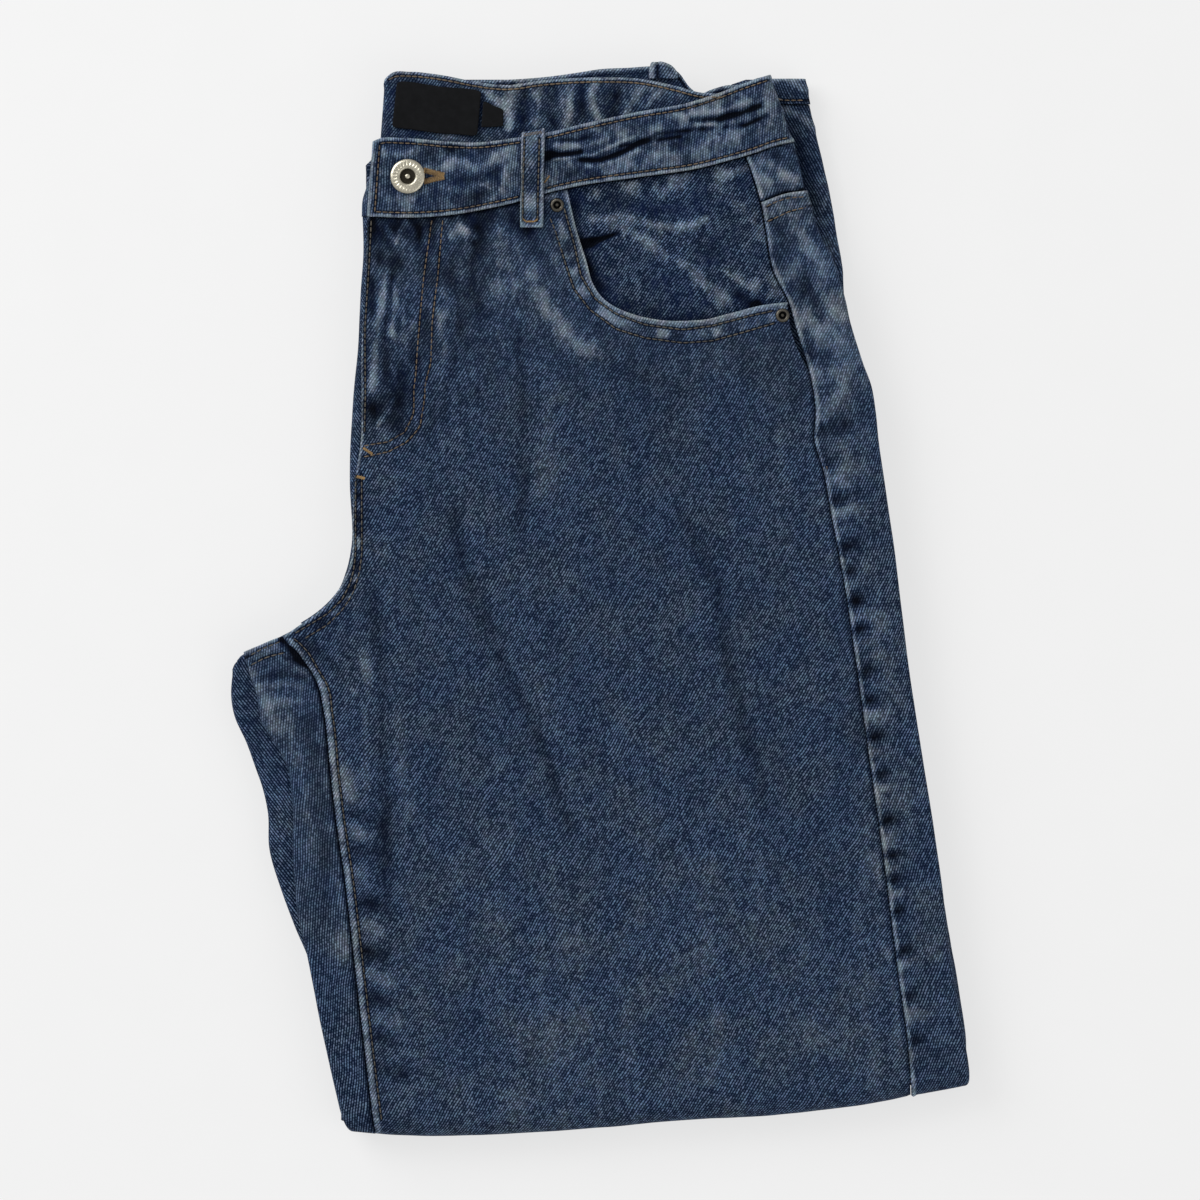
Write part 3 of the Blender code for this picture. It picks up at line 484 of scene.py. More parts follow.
def make_denim_group():
    group, given, made = new_group(
        "denim_weave",
        {
            "Vector": "Place", "Float": "Lean Pitch Fade Wash Mottle Upper Crisp Wear Edge Row",
            "Color": "Warp Blue Weft",
        },
        {"Color": "Colour", "Float": "Roughness Height"},
    )
    place = given["Place"]
    split = add_node(group, "ShaderNodeSeparateXYZ", {0: turn(group, place, given["Lean"])}).outputs
    wander = noise(group, place, 0.05, 1.0)
    grain = noise(group, place, 1.1, 2.0, 0.7)

    # Which twill line, and which float of thread along it
    across = maths(group, "DIVIDE", maths(group, "MULTIPLY_ADD", wander, 3.0, split[1]), given["Pitch"])
    line = maths(group, "FLOOR", across)
    through = maths(group, "FRACT", across)
    along_it = maths(group, "MULTIPLY_ADD", line, 0.37, maths(group, "DIVIDE", split[0], 1.5))
    along_it = maths(group, "MULTIPLY_ADD", grain, 0.8, along_it)
    cell = add_node(group, "ShaderNodeCombineXYZ", {0: line, 1: maths(group, "FLOOR", along_it)}).outputs[0]
    chance = add_node(group, "ShaderNodeTexWhiteNoise", {0: cell}, noise_dimensions="2D").outputs[0]
    float_end = maths(group, "SINE", maths(group, "MULTIPLY", maths(group, "FRACT", along_it), math.pi))
    ridge = maths(group, "SINE", maths(group, "MULTIPLY", through, math.pi))
    thread = maths(group, "MULTIPLY", ridge, maths(group, "MULTIPLY_ADD", float_end, 0.35, 0.65))
    uneven = maths(group, "MULTIPLY_ADD", chance, 0.4, maths(group, "MULTIPLY_ADD", grain, 0.5, 0.38))
    yarn = maths(group, "MULTIPLY", thread, uneven)
    placed = add_node(group, "ShaderNodeSeparateXYZ", {0: place}).outputs[1]
    near_waist = ramp(group, maths(group, "SUBTRACT", placed, given["Upper"]), -120, 0)
    crisp = maths(group, "MULTIPLY", given["Crisp"], maths(group, "MULTIPLY_ADD", near_waist, -0.2, 1.0))
    pattern = maths(group, "SUBTRACT", ramp(group, yarn, 0.4, 0.95), PALE_FLOOR)
    pattern = maths(group, "MULTIPLY_ADD", pattern, crisp, PALE_FLOOR, clamp=True)

    # Thick and thin yarns cross the twill, then washed patches, wear with painted shade in hollows, rubbed edges and
    # the painted shade beside stitches
    slub = noise(group, stretch(group, turn(group, place, SLUB_ANGLE), (0.16, 0.6, 1)), 1.0, 2.0, 0.6)
    cloud = noise(group, place, 0.04, 2.0, 0.55)
    blotch = noise(group, place, 0.2, 3.0, 0.65)
    patchy = maths(group, "MULTIPLY_ADD", cloud, 0.4, maths(group, "MULTIPLY", blotch, 0.6))
    patchy = ramp(group, patchy, 0.3, 0.7, -1, 1)
    fade = maths(group, "MULTIPLY_ADD", patchy, given["Wash"], given["Fade"])
    fade = maths(group, "ADD", fade, ramp(group, slub, 0.3, 0.7, -0.05, 0.05, smooth=False))
    streaky = noise(group, stretch(group, place, (0.4, 0.15, 1)), 1.0, 2.0, 0.5)
    streaky = ramp(group, streaky, 0.34, 0.66, -1, 1, smooth=False)
    mottle = maths(group, "MULTIPLY", given["Mottle"], maths(group, "MULTIPLY_ADD", near_waist, 0.9, 0.1))
    fade = maths(group, "MULTIPLY_ADD", streaky, mottle, fade)
    fade = maths(group, "MULTIPLY_ADD", given["Wear"], 0.55, fade)
    fade = maths(group, "MULTIPLY_ADD", maths(group, "MAXIMUM", given["Wear"], 0.0), 0.62, fade)
    rub = ramp(group, given["Edge"], 0.3, 1.7, 1.0, 0.0)
    rub = maths(group, "MULTIPLY", rub, ramp(group, blotch, 0.3, 0.6, 0.5, 1.0))
    fade = maths(group, "MULTIPLY_ADD", rub, 0.55, fade)
    sewn = ramp(group, given["Row"], 0.45, 1.1, 1.0, 0.0)
    fade = maths(group, "MULTIPLY_ADD", sewn, -0.25, fade, clamp=True)

    # Ground colour under the floats, and the pale floats on it
    ground = blend_colour(group, ramp(group, fade, 0.0, 0.2, smooth=False), given["Blue"], given["Warp"])
    ground = blend_colour(group, ramp(group, fade, 0.35, 1.1, smooth=False), ground, WORN_GROUND)
    floats = blend_colour(group, ramp(group, fade, 0.35, 1.0, smooth=False), given["Weft"], WORN_WEFT)
    amount = maths(group, "MULTIPLY_ADD", fade, 1.3, 0.09, clamp=True)
    colour = blend_colour(group, maths(group, "MULTIPLY", pattern, amount), ground, floats)
    for patch, upto, first, second in (
        (cloud, 0.68, (0.88, 0.97, 1.1, 1), (1.03, 1.01, 0.98, 1)),
        (blotch, 0.65, (1.05, 0.98, 1.03, 1), (0.93, 1.02, 1.0, 1)),
    ):
        tint = blend_colour(group, ramp(group, patch, 0.35, upto), first, second)
        colour = blend_colour(group, 1.0, colour, tint, "MULTIPLY")
    # Painted shade: cloth in deep hollows, where the relief's mark is far below zero, and cloth right beside stitches
    # is darkened nearly to black.
    deep = maths(group, "MULTIPLY", ramp(group, given["Wear"], -0.5, -0.03, 0.1, 1.0, smooth=False),
                 ramp(group, given["Row"], 0.4, 0.95, 0.25, 1.0))
    deep = add_node(group, "ShaderNodeCombineXYZ", {0: deep, 1: deep, 2: deep}).outputs[0]
    group.links.new(blend_colour(group, 1.0, colour, deep, "MULTIPLY"), made["Colour"])
    group.links.new(ramp(group, yarn, 0.0, 1.0, 0.95, 0.8), made["Roughness"])
    group.links.new(maths(group, "MULTIPLY_ADD", thread, 0.3, maths(group, "MULTIPLY", sewn, -0.35)), made["Height"])
    return group


denim_group = make_denim_group()
print("nodes in the denim group:", len(denim_group.nodes))

# %% The denims of this pair
WARP = (0.0012, 0.0062, 0.021, 1)  # between the pale floats, where the cloth is faded
BLUE = (0.0022, 0.0085, 0.035, 1)  # unfaded cloth, smooth and navy
WEFT = (0.268, 0.37, 0.53, 1)


def denim(name, lean, fade, wash, mottle, crisp=0.95, upper=-100.0, pitch=1.22):
    """A denim whose twill leans by so many degrees, with its lines pitch mm apart. Fade says how pale it is, wash
    and mottle how patchy, crisp how far the twill stands out, and upper from which height it is streaky."""
    material, tree = new_material(name, Sheen_Weight=0.01, Specular_IOR_Level=0.06)
    inputs = {
        "Place": place_on_cut(tree), "Lean": math.radians(-lean), "Pitch": pitch, "Fade": fade, "Wash": wash,
        "Mottle": mottle, "Upper": upper, "Crisp": crisp, "Warp": WARP, "Blue": BLUE, "Weft": WEFT,
        "Wear": mark_of(tree, "wear"), "Edge": mark_of(tree, "edge"), "Row": mark_of(tree, "row"),
    }
    made = add_node(tree, "ShaderNodeGroup", inputs, node_tree=denim_group).outputs
    return dress(material, made["Colour"], made["Roughness"], (0.6, 0.001, made["Height"]))


front_denim = denim("denim_front", 57, 0.295, 0.04, 0.09, upper=175.0)
back_denim = denim("denim_back", 68, 0.32, 0.05, 0.1, upper=150.0)
facing_denim = denim("denim_facing", 54, 0.178, 0.06, 0.07, 1.35)
thigh_denim = denim("denim_inner_thigh", 86, 0.29, 0.05, 0.05, 1.0)
band_denim = denim("denim_waistband", 86, 0.27, 0.08, 0.14, 0.95)
loop_denim = denim("denim_loop", 55, 0.27, 0.06, 0.08, 1.05)
inside_denim = denim("denim_inside", 52, 0.238, 0.08, 0.12, 1.05)
shade_denim = denim("denim_shade", 128, 0.25, 0.04, 0.04, 1.2)
print("denims:", [m.name for m in bpy.data.materials if m.name.startswith("denim_")])

# %% [markdown]
# ## Making a panel
# A panel is a grid whose points are moved to where the cloth lies. The same grid keeps two more things at each
# point: its place on the flat cut, which becomes the UV map that the weave follows round every fold, and three
# marks for the shader, namely wear (rubbed pale above zero, painted shade in hollows below zero), the distance to a
# rubbed edge and the distance to a row of stitches, which also sets painted shade beside the stitches. Creases
# push the points along the cloth's own normal. A Solidify modifier then gives the cloth its wall.

# %% Build one panel of cloth
FAR = 50.0  # a distance in mm at which an edge or a row no longer marks the cloth
made_pieces = {}


def mesh_object(name, bm, material):
    mesh = bpy.data.meshes.new(name)
    bm.to_mesh(mesh)
    bm.free()
    mesh.shade_smooth()
    mesh.materials.append(material)
    return add_object(name, mesh)


def surface_normals(points, flip):
    by_row, by_column = np.gradient(points, axis=0), np.gradient(points, axis=1)
    normals = np.cross(by_column, by_row)
    normals /= np.maximum(np.linalg.norm(normals, axis=2, keepdims=True), 1e-9)
    return -normals if flip else normals


def panel(name, columns, rows, place, wall, material, relief=None, edges=(), stitched=(), flip=False,
          column_spread=None):
    """place(column, row) gives x, y, z and the place on the flat cut; relief(x, y, cut) gives height and wear, which
    below zero is painted shade.
    """
    column_at = np.arange(columns + 1, dtype=float)
    if column_spread:
        column_at = np.interp(column_at, *zip(*column_spread))
    column, row = np.meshgrid(column_at, np.arange(rows + 1, dtype=float))
    x, y, z, cut_x, cut_y = place(column, row)
    points = np.stack([x, y, z], axis=2)
    height, wear = relief(x, y, (cut_x, cut_y)) if relief else (np.zeros_like(x), np.zeros_like(x))
    points = points + surface_normals(points, flip) * height[..., None]
    points[..., 2] = np.maximum(points[..., 2], 0.0)

    bm = bmesh.new()
    bmesh.ops.create_grid(bm, x_segments=columns, y_segments=rows, size=0.5)
    for vert in bm.verts:
        vert.co = Vector(points[round((vert.co.y + 0.5) * rows), round((vert.co.x + 0.5) * columns)]) * MM
    if flip:
        bmesh.ops.reverse_faces(bm, faces=bm.faces)
    piece = finish_piece(name, bm, material)
    order = grid_order(columns, rows)
    write_marks(piece, wear[order], edge_distance(edges, x, y)[order], edge_distance(stitched, x, y)[order])
    write_cut(piece, order, cut_x, cut_y)
    solid = piece.modifiers.new("Wall", "SOLIDIFY")
    solid.thickness = wall * MM
    solid.offset = -1
    solid.use_quality_normals = False
    return piece


# %% What a panel keeps for its shader
def grid_order(columns, rows):
    """Row and column of each vertex of a created grid, in its own order."""
    bm = bmesh.new()
    bmesh.ops.create_grid(bm, x_segments=columns, y_segments=rows, size=0.5)
    places = np.array([vert.co for vert in bm.verts])
    bm.free()
    return np.rint((places[:, 1] + 0.5) * rows).astype(int), np.rint((places[:, 0] + 0.5) * columns).astype(int)


def finish_piece(name, bm, material):
    made_pieces[name] = mesh_object(name, bm, material)
    return made_pieces[name]


def edge_distance(lines, x, y):
    away = np.full(np.shape(x), FAR)
    for line in lines:
        away = np.minimum(away, near(line, x, y)[0])
    return away


def write_marks(piece, wear, edge, row):
    """Keeps three values at each vertex, in the mesh's own order, for the shader."""
    for mark, values in (("wear", wear), ("edge", edge), ("row", row)):
        layer = piece.data.attributes.new(mark, "FLOAT", "POINT")
        layer.data.foreach_set("value", values.astype(np.float32))


def write_cut(piece, order, cut_x, cut_y):
    corner = np.zeros(len(piece.data.loops), int)
    piece.data.loops.foreach_get("vertex_index", corner)
    places = np.stack([cut_x[order], cut_y[order]], 1)[corner] * MM
    layer = piece.data.uv_layers.new(name="weave")
    layer.data.foreach_set("uv", places.astype(np.float32).ravel())


# %% [markdown]
# Many panels run over an edge: from a seam, across the top, round a half circle and back beneath. One helper
# gives that section for any seam and edge, and how far each point is along the cloth.


# %% A section that goes round an edge
def fold_section(column, counts, seam_x, edge_x, top, bottom, beneath):
    """x, z and the place along the flat cut. counts has the columns of the flap, of the turn and beneath it."""
    flap, turn, tuck = counts
    outward = np.sign(edge_x - seam_x)
    radius = (top - bottom) / 2
    shoulder = edge_x - outward * radius
    on_flap = np.clip(column / flap, 0, 1)
    angle = math.pi * np.clip((column - flap) / turn, 0, 1)
    tucked = np.clip((column - flap - turn) / tuck, 0, 1)
    x = mix(seam_x, shoulder, on_flap) + outward * (radius * np.sin(angle) - beneath * tucked)
    z = mix(top, bottom, (1 - np.cos(angle)) / 2)
    cut_x = mix(seam_x, shoulder, on_flap) + outward * (radius * angle + beneath * tucked)
    return x, z, cut_x


def levels_at(spans, row):
    """y of each row, from spans (start, end, rows) that follow on each other."""
    marks, values = [0.0], [spans[0][0]]
    for _, end, count in spans:
        marks.append(marks[-1] + count)
        values.append(end)
    return np.interp(row, marks, values)


def count_of(spans):
    return sum(span[2] for span in spans)


def leg_strip(spans, counts, seam, seam_gap, edge, beneath, top, top_from, top_to):
    """The place function of a strip of leg, from a seam over an outer edge and beneath, then round the knee. Between
    the heights top_from and top_to its level rows turn into the line of its top seam."""

    def place(column, row):
        level = levels_at(spans, row)
        y = level
        for _ in range(3):
            x, z, cut_x = fold_section(
                column, counts, along(seam, y) + seam_gap, along(edge, y), leg_height(y), pile_height(y) + LAY_GAP,
                beneath,
            )
            up = np.clip((level - top_from) / (top_to - top_from), 0, 1)
            y = skewed(np.where(up > 0, mix(top_from, along(top, x) - SEAM_GAP, up), level), x)
        return *round_knee(x, y, z), cut_x, y

    return place


KNEE_SPANS = ((KNEE_MEAN - KNEE_TURN - KNEE_TAIL, KNEE_MEAN - KNEE_TURN, 4), (KNEE_MEAN - KNEE_TURN, KNEE_MEAN, 20))
LEG_SPANS = ((KNEE_MEAN, BELOW_CROTCH, 84), (BELOW_CROTCH, CROTCH_Y, 22))
HIP_SPANS = ((CROTCH_Y, OPENING_Y, 62),)
print("rows down a leg:", count_of(KNEE_SPANS) + count_of(LEG_SPANS) + count_of(HIP_SPANS))

# %% [markdown]
# ## The left front panel
# This is nearly all of the picture. Its inner edge runs down the fly and round the crotch to the inseam, its outer
# edge is the side seam, and the pocket opening is cut out of its upper corner. The columns of the grid fan out, so
# that the panel's top row follows the waist seam and then the pocket opening.

# %% Creases of the left front: half width, height, wear (below zero, painted shade), line
FRONT_CREASES = (
    (10, 0.8, 0.03, ((-54, 30), (-12, -103))),
    (10, 0.8, 0.03, ((40, 41), (80, -99))),
    (9, 0.7, 0.04, ((-36, 112), (-30, 57))),
    (9, 0.9, 0.06, ((-8, 120), (62, 112))),
    (9, 1.0, 0.05, ((-96, 176), (-99, 84))),
    (4, -0.5, -0.18, ((-70, 40), (-66, 18), (-43, -38), (-34.6, -52), (-22, -87), (-14, -110))),
    (4.2, -0.3, -0.18, ((-109, 4), (-106, -20), (-103.5, -60), (-102.5, -100), (-104, -130))),
    (3.2, 0.3, 0.12, ((-122.5, -79), (-121, -88), (-119, -97))),
    (2.6, 0.3, 0.12, ((-118, -108), (-116.5, -116))),
    (3.0, 0.2, 0.08, ((-112, -30), (-112.5, -60), (-112, -90))),
    (4, -0.5, -0.17, ((40, 41), (56, 7), (62, -32), (68, -56), (80, -99))),
    (3.4, -0.5, -0.17, ((-38.5, 34), (-36.5, 57), (-36, 90), (-38.4, 124))),
    (6, 0.3, 0.05, ((-28, 52), (-24, 86), (-26, 110))),
    (5, -0.3, -0.14, ((-104, -106), (-102, -135), (-99, -164))),
    (1.6, 0.5, 0.35, ((-101, 176), (-97, 171), (-94.5, 165))),
    (1.4, 0.4, 0.25, ((-94, 181), (-89, 176))),
    (1.6, 0.5, 0.3, ((-70, 181), (-65, 175), (-62, 168))),
    (2.2, 0.5, 0.25, ((-73, 174), (-66, 178), (-60, 175))),
    (4, 0.4, 0.2, ((-108, 158), (-99, 150), (-97, 138))),
    (4, 0.4, 0.2, ((-106, 131), (-96, 126), (-92, 118))),
    (7, 0.3, 0.1, ((-52, 170), (-44, 158), (-40, 140))),
    (8, 0.3, 0.1, ((-28, 170), (-26, 150), (-18, 136))),
    (6, -0.4, -0.12, ((-72, 160), (-66, 140), (-70, 118))),
    (5, -0.3, -0.1, ((-58, 148), (-50, 132))),
    (6, 0.4, 0.1, ((-112, -30), (-100, -60), (-92, -100))),
    (2.6, -0.4, -0.16, ((-140, -22), (-130, -28), (-121, -40))),
    (1.6, 0.3, 0.14, ((-133, -22), (-124, -31), (-117, -46))),
    (1.6, -0.2, -0.1, ((-124, -22), (-117, -34), (-113, -50))),
    # Beside the fly: upright folds rubbed pale, with painted shade in the hollows between
    (2.2, 0.35, 0.3, ((-103, 152), (-105, 138), (-108, 120), (-109, 100))),
    (1.7, 0.3, 0.28, ((-98, 152), (-98.5, 140), (-100, 128))),
    (1.5, 0.3, 0.24, ((-93.5, 150), (-94, 140), (-95, 132))),
    (1.5, -0.3, -0.28, ((-95.8, 152), (-96.2, 140), (-97.5, 130))),
    (1.6, -0.3, -0.28, ((-100.6, 154), (-101.6, 140), (-104, 126))),
    (4.5, -0.3, -0.3, ((-89, 114), (-93, 104), (-96, 95))),
    (5.5, 0, -0.3, ((-108, 179), (-100, 176), (-90, 178))),
    (0.9, 0.25, 0.45, ((-103, 179), (-100.5, 174), (-98.4, 170.5))),
    (0.9, 0.2, 0.4, ((-98.4, 170.5), (-95.5, 177))),
    (6, -0.2, -0.28, ((-110, 92), (-102, 87), (-98, 82))),
    (1.1, 0.3, 0.4, ((-106.5, 84), (-102, 90), (-99.8, 95.8))),
    (1.0, 0.25, 0.4, ((-68, 180.5), (-63, 176.5), (-60, 173))),
    (3.5, 0.2, 0.2, ((-74, 150), (-76, 130), (-77.5, 108))),
    (5, 0.2, 0.16, ((-48, 176), (-50.4, 144), (-49, 128))),
    (4.5, 0.3, 0.22, ((-37, 170), (-29, 146), (-21, 131), (-6, 121))),
    (4.0, -0.2, -0.14, ((-60, 178), (-61, 160), (-63, 144))),
    (4, 0, -0.25, ((-42, 182), (-36, 177))),
    (5, -0.3, -0.24, ((-102, 112), (-101, 100), (-106, 90))),
    (13, 0.2, 0.07, ((-46, 172), (-40, 142), (-30, 122))),
    (5, 0.2, 0.16, ((-25, 180), (-18, 160), (-9, 146))),
    # Hollows beside the inseam, darkened with painted shade, and pale bumps
    (3.4, -0.6, -0.26, ((-118.5, -103.4), (-113, -105))),
    (3.2, -0.6, -0.28, ((-117, -120.2), (-110, -122))),
    (3.4, -0.7, -0.3, ((-113.5, -144.6), (-106, -147.6))),
    (3.6, -0.7, -0.34, ((-112.5, -168.6), (-104, -172))),
    (3.2, -0.7, -0.3, ((-110, -190.6), (-102, -193.6))),
    (3.6, -0.6, -0.28, ((-107, -210), (-99, -213.6))),
    (4, -0.6, -0.26, ((-105, -225), (-94, -228))),
    (3, 0.4, 0.14, ((-114, -112), (-107, -114))),
    (3.6, 0.4, 0.16, ((-112, -156), (-103, -160))),
    (3.4, 0.4, 0.16, ((-110, -180), (-101, -184))),
    (3.4, 0.4, 0.14, ((-107, -200.5), (-97, -204))),
)


# %% Where the left front lies
WAIST_PLACES, POCKET_PLACES = 40.0, 70.0  # how the top row is shared between the waist and the pocket opening
WAIST_SHARE = 0.46  # of the panel's width below the opening
FRONT_COLUMNS = 172
FRONT_SPREAD = ((0, 0), (8, 1.8), (164, 108.4), (172, 110))  # column to place: finer columns at both edges
FRONT_SPANS = (*KNEE_SPANS, *LEG_SPANS, *HIP_SPANS, (OPENING_Y, FLY_EDGE[0][0], 48))


def top_of_front(column):
    """The panel's top row: along the waist seam, then along the pocket opening."""
    steps = np.linspace(0, 1, len(POCKET_EDGE))
    at = np.clip((column - WAIST_PLACES) / POCKET_PLACES, 0, 1)
    pocket_x, pocket_y = (along(list(zip(steps, values)), at) for values in zip(*POCKET_EDGE))
    waist_x = mix(BAND_LOWER[0][0], POCKET_EDGE[0][0], np.clip(column / WAIST_PLACES, 0, 1))
    at_waist = column <= WAIST_PLACES
    x = np.where(at_waist, waist_x, pocket_x)
    seam_y = along(BAND_LOWER, x) - SEAM_GAP
    return x, np.where(at_waist, seam_y, np.minimum(pocket_y, seam_y))


def front_place(column, row):
    top_x, top_y = top_of_front(column)
    level = levels_at(FRONT_SPANS, row)
    up = np.clip((level - OPENING_Y) / (FLY_EDGE[0][0] - OPENING_Y), 0, 1)
    y = np.where(up > 0, mix(OPENING_Y, top_y, up), level)
    width_share = np.interp(column, (0, WAIST_PLACES, WAIST_PLACES + POCKET_PLACES), (0, WAIST_SHARE, 1))

    def across(at_y):
        left = np.where(at_y > CROTCH_Y, along(FLY_EDGE, at_y), along(INSEAM, at_y))
        right = along(SIDE_SEAM, at_y) - SEAM_GAP / 2
        share = mix(width_share, np.minimum((top_x - left) / (right - left), 1), up)
        return mix(left, right, share)

    x = across(y)
    y = skewed(y, x)
    x = np.where(up > 0, x, across(y))
    return *round_knee(x, y, leg_height(y)), x, y


print("rows of the left front:", count_of(FRONT_SPANS))

# %% Sewing on the left front
J_STITCH = (
    ((-80.6, 182.2), (-84.5, 155.3), (-87.4, 123.6), (-88.3, 109.7), (-89.3, 100.6), (-89.3, 89.5), (-93.6, 80.4),
     (-101.8, 75.6), (-113.5, 73.7)),
    ((-75.4, 182.2), (-77.8, 155.3), (-80.6, 132.7), (-81.1, 114), (-84, 103), (-84, 97.7), (-86.4, 82.8),
     (-92.6, 75.6), (-101.8, 70.8), (-113.5, 68.4)),
)
RISE_ROWS = (
    ((-117.3, 60), (-117.4, 40), (-117.3, 22), (-118.3, 13.7), (-120.2, 7), (-124, -0.2), (-131, -7), (-146.5, -16.3)),
    ((-114.4, 60), (-114.4, 40), (-114.3, 22), (-115.4, 13.7), (-118.1, 4.1), (-122.9, -4.1), (-131, -12.2),
     (-141.8, -18.8)),
)
POCKET_ROWS = (
    ((-17.3, 187.9), (-12.5, 171.1), (-9.1, 155.3), (-2.4, 144.2), (7.7, 137), (21.6, 131.8), (39.8, 129.4),
     (53.8, 131.3), (72, 136.1), (83, 138.5)),
    ((-24, 183.1), (-21.6, 177.4), (-16.8, 162), (-12.5, 149), (-4.8, 139), (7.7, 129.8), (21.6, 125.5),
     (39.8, 123.1), (53.8, 124.1), (67.7, 127.9), (84, 132.7)),
)
INSEAM_ROW = [
    (-147.5, -18.6), (-144.5, -20.6), (-139.7, -25.8), (-135.5, -33.3), (-131.2, -40.2), (-129.3, -46.1),
    *[(x + 3.9, y) for x, y in line_of(INSEAM, -53, -250, 40)],
]
FLY_EDGE_ROW = ((-109.7, 182), (-110.8, 160), (-112.8, 130), (-112.6, 98), (-113, 80))
print("rows of sewing on the front:", len((*J_STITCH, *RISE_ROWS, *POCKET_ROWS)) + 2)

# %% [markdown]
# Relief and colour go together: what stands proud is rubbed pale, and what lies in a hollow keeps its colour and is
# darkened further with painted shade. So each feature below adds to both. Washing leaves clouds in the cloth, sewing
# draws it into puckers, and wherever several layers are felled together the cloth stands up as a welt.

# %% Relief, wear and painted shade of the left front


def beside(x, y, edge_line, reach):
    """1 at an edge, fading to 0 over reach mm."""
    return 1 - smooth_step(near(edge_line, x, y)[0], 0, reach)


def front_clouds(x, y):
    """Soft waves, washed clouds, and upright streaks where the cloth is pulled down from the waist."""
    upper = smooth_step(y, 60, 175)
    by_fly = smooth_step(y, 62, 90) * (1 - smooth_step(x, -80, -40))
    height = soft_noise(x, y * 0.5, 26, 3) * 0.35 + soft_noise(x, y, 9, 4) * 0.12
    wear = soft_noise(x, y, 13, 5) * (0.02 + 0.08 * upper) + soft_noise(x, y, 5, 6) * 0.07 * upper
    wear += soft_noise(x, y * 0.3, 3.2, 7) * (0.03 + 0.05 * upper + 0.16 * by_fly) - 0.18 * upper
    wear += soft_noise(x + y * 0.12, y * 0.12, 9, 8) * 0.035 + 0.045 * (1 - smooth_step(y, -190, -40))
    return height, wear


def front_puckers(x, y):
    side = puckers(side_seam_line, x, y, 9, 5, 11)
    inner = puckers(inseam_line, x, y, 12, 9, 12) * (y < CROTCH_Y)
    fly = puckers(fly_line, x, y, 8, 9, 13)
    waist = puckers(band_lower_line, x, y, 10, 8, 14)
    pocket = puckers(pocket_line, x, y, 7, 6, 15)
    return 0.5 * side + 0.7 * inner + 0.5 * fly + 0.5 * waist + 0.45 * pocket


def front_seams(x, y):
    """The inseam's felled welt, the pocket's faced edge, the rise seam, and the roping between rows of sewing."""
    off, run = near(inseam_line, x, y)
    welt = bell(off, 1.7, 1.5) * (y < CROTCH_Y - 1)
    rim = near(pocket_line, x, y)[0]
    rise = near(fly_line, x, y)[0]
    roped = roping(between(*POCKET_ROWS), x, y, 3.4, 2.6, 18) + roping(between(*RISE_ROWS), x, y, 3.0, 2.0, 19)
    height = 0.9 * welt + 0.5 * (1 - smooth_step(rim, 8.0, 10.5)) + 0.4 * roped
    height += 0.45 * (1 - smooth_step(rise, 4.5, 6.5)) * (1 - smooth_step(y, 10, 40))
    wear = (0.34 + 0.24 * soft_noise(run, 0 * run, 1.9, 17)) * welt + 0.45 * roped
    wear += 0.24 * (1 - smooth_step(rim, 8, 13)) * (0.7 + 0.5 * soft_noise(x, y, 9, 16))
    return height, wear + 0.2 * (1 - smooth_step(rim, 2.0, 4.0))


def front_relief(x, y, cut):
    creases, clouds, seams = creased(FRONT_CREASES, *cut), front_clouds(*cut), front_seams(*cut)
    ripple = front_puckers(*cut)
    height = creases[0] + clouds[0] + seams[0] + ripple
    # Puckers colour the cloth too: paler on their crests, darkened with painted shade in their troughs.
    wear = creases[1] + clouds[1] + seams[1] + 0.35 * ripple
    height *= smooth_step(near(side_seam_line, *cut)[0], 0, 3) * 0.6 + 0.4
    height -= 0.5 * beside(*cut, side_seam_line, 2.5)
    # Painted shade: the cloth is darkened in the groove beside the side seam.
    return height, wear - 0.22 * beside(*cut, side_seam_line, 3)


front_left = panel(
    "jeans_front_left", FRONT_COLUMNS, count_of(FRONT_SPANS), front_place, CLOTH, front_denim,
    relief=front_relief, edges=[fly_line, pocket_line], column_spread=FRONT_SPREAD,
    stitched=[*J_STITCH, *RISE_ROWS, *POCKET_ROWS, INSEAM_ROW, FLY_EDGE_ROW],
)
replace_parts(front_left, "front_left")

# %% [markdown]
# ## The left back panel at the side seam
# The back panel starts at the side seam, shows as a strip, and goes round the hip fold and beneath. Its seam edge is
# folded and rubbed to a pale cord. Beside it the cloth ropes: the two layers shrink unevenly, so hollows and pale
# bumps alternate down the leg, and the hollows are darkened with painted shade.

# %% Hollows down the side seam: y, size, how far out
BUMP_BELOW = 7.0  # each hollow has its pale bump this far below it
ROPING = (
    (48.7, 5.5, 9), (25.7, 5, 6.5), (13.7, 4, 5), (-0.7, 5, 6), (-14.2, 4, 6.5), (-34.3, 5, 6), (-48.7, 4, 5.5),
    (-65.5, 5, 6), (-84, 4, 6), (-105.8, 5, 6.5), (-122.6, 4, 6), (-134.6, 4, 5.5), (-149, 4, 6), (-168.2, 5, 6),
    (-190, 4, 5), (-212, 4, 5.5),
)
HIP_CREASES = (
    (4.5, 1.1, 0.16, ((96, 170), (106, 154), (113, 140))),
    (5.5, 1.2, 0.14, ((112, 132), (116.5, 118), (116, 100), (109, 88))),
    (5, 0.8, 0.14, ((115, 66), (118, 50), (119, 38))),
    (6, 0.5, 0.06, ((131, 0), (137, -60))),
    (4, -0.9, -0.28, ((104, 79), (110, 82), (117, 84))),
    (4, -0.5, -0.2, ((110, 64), (114, 66))),
    (5, -0.6, -0.2, ((86, 178), (95, 170), (101, 160))),
    (4, 0.5, 0.16, ((90, 176), (100, 172), (106, 163))),
    (6, -0.5, -0.2, ((97, 150), (104, 140))),
    (6, 0.6, 0.2, ((100, 133), (108, 128))),
    (5, -0.5, -0.18, ((101, 120), (108, 116))),
)
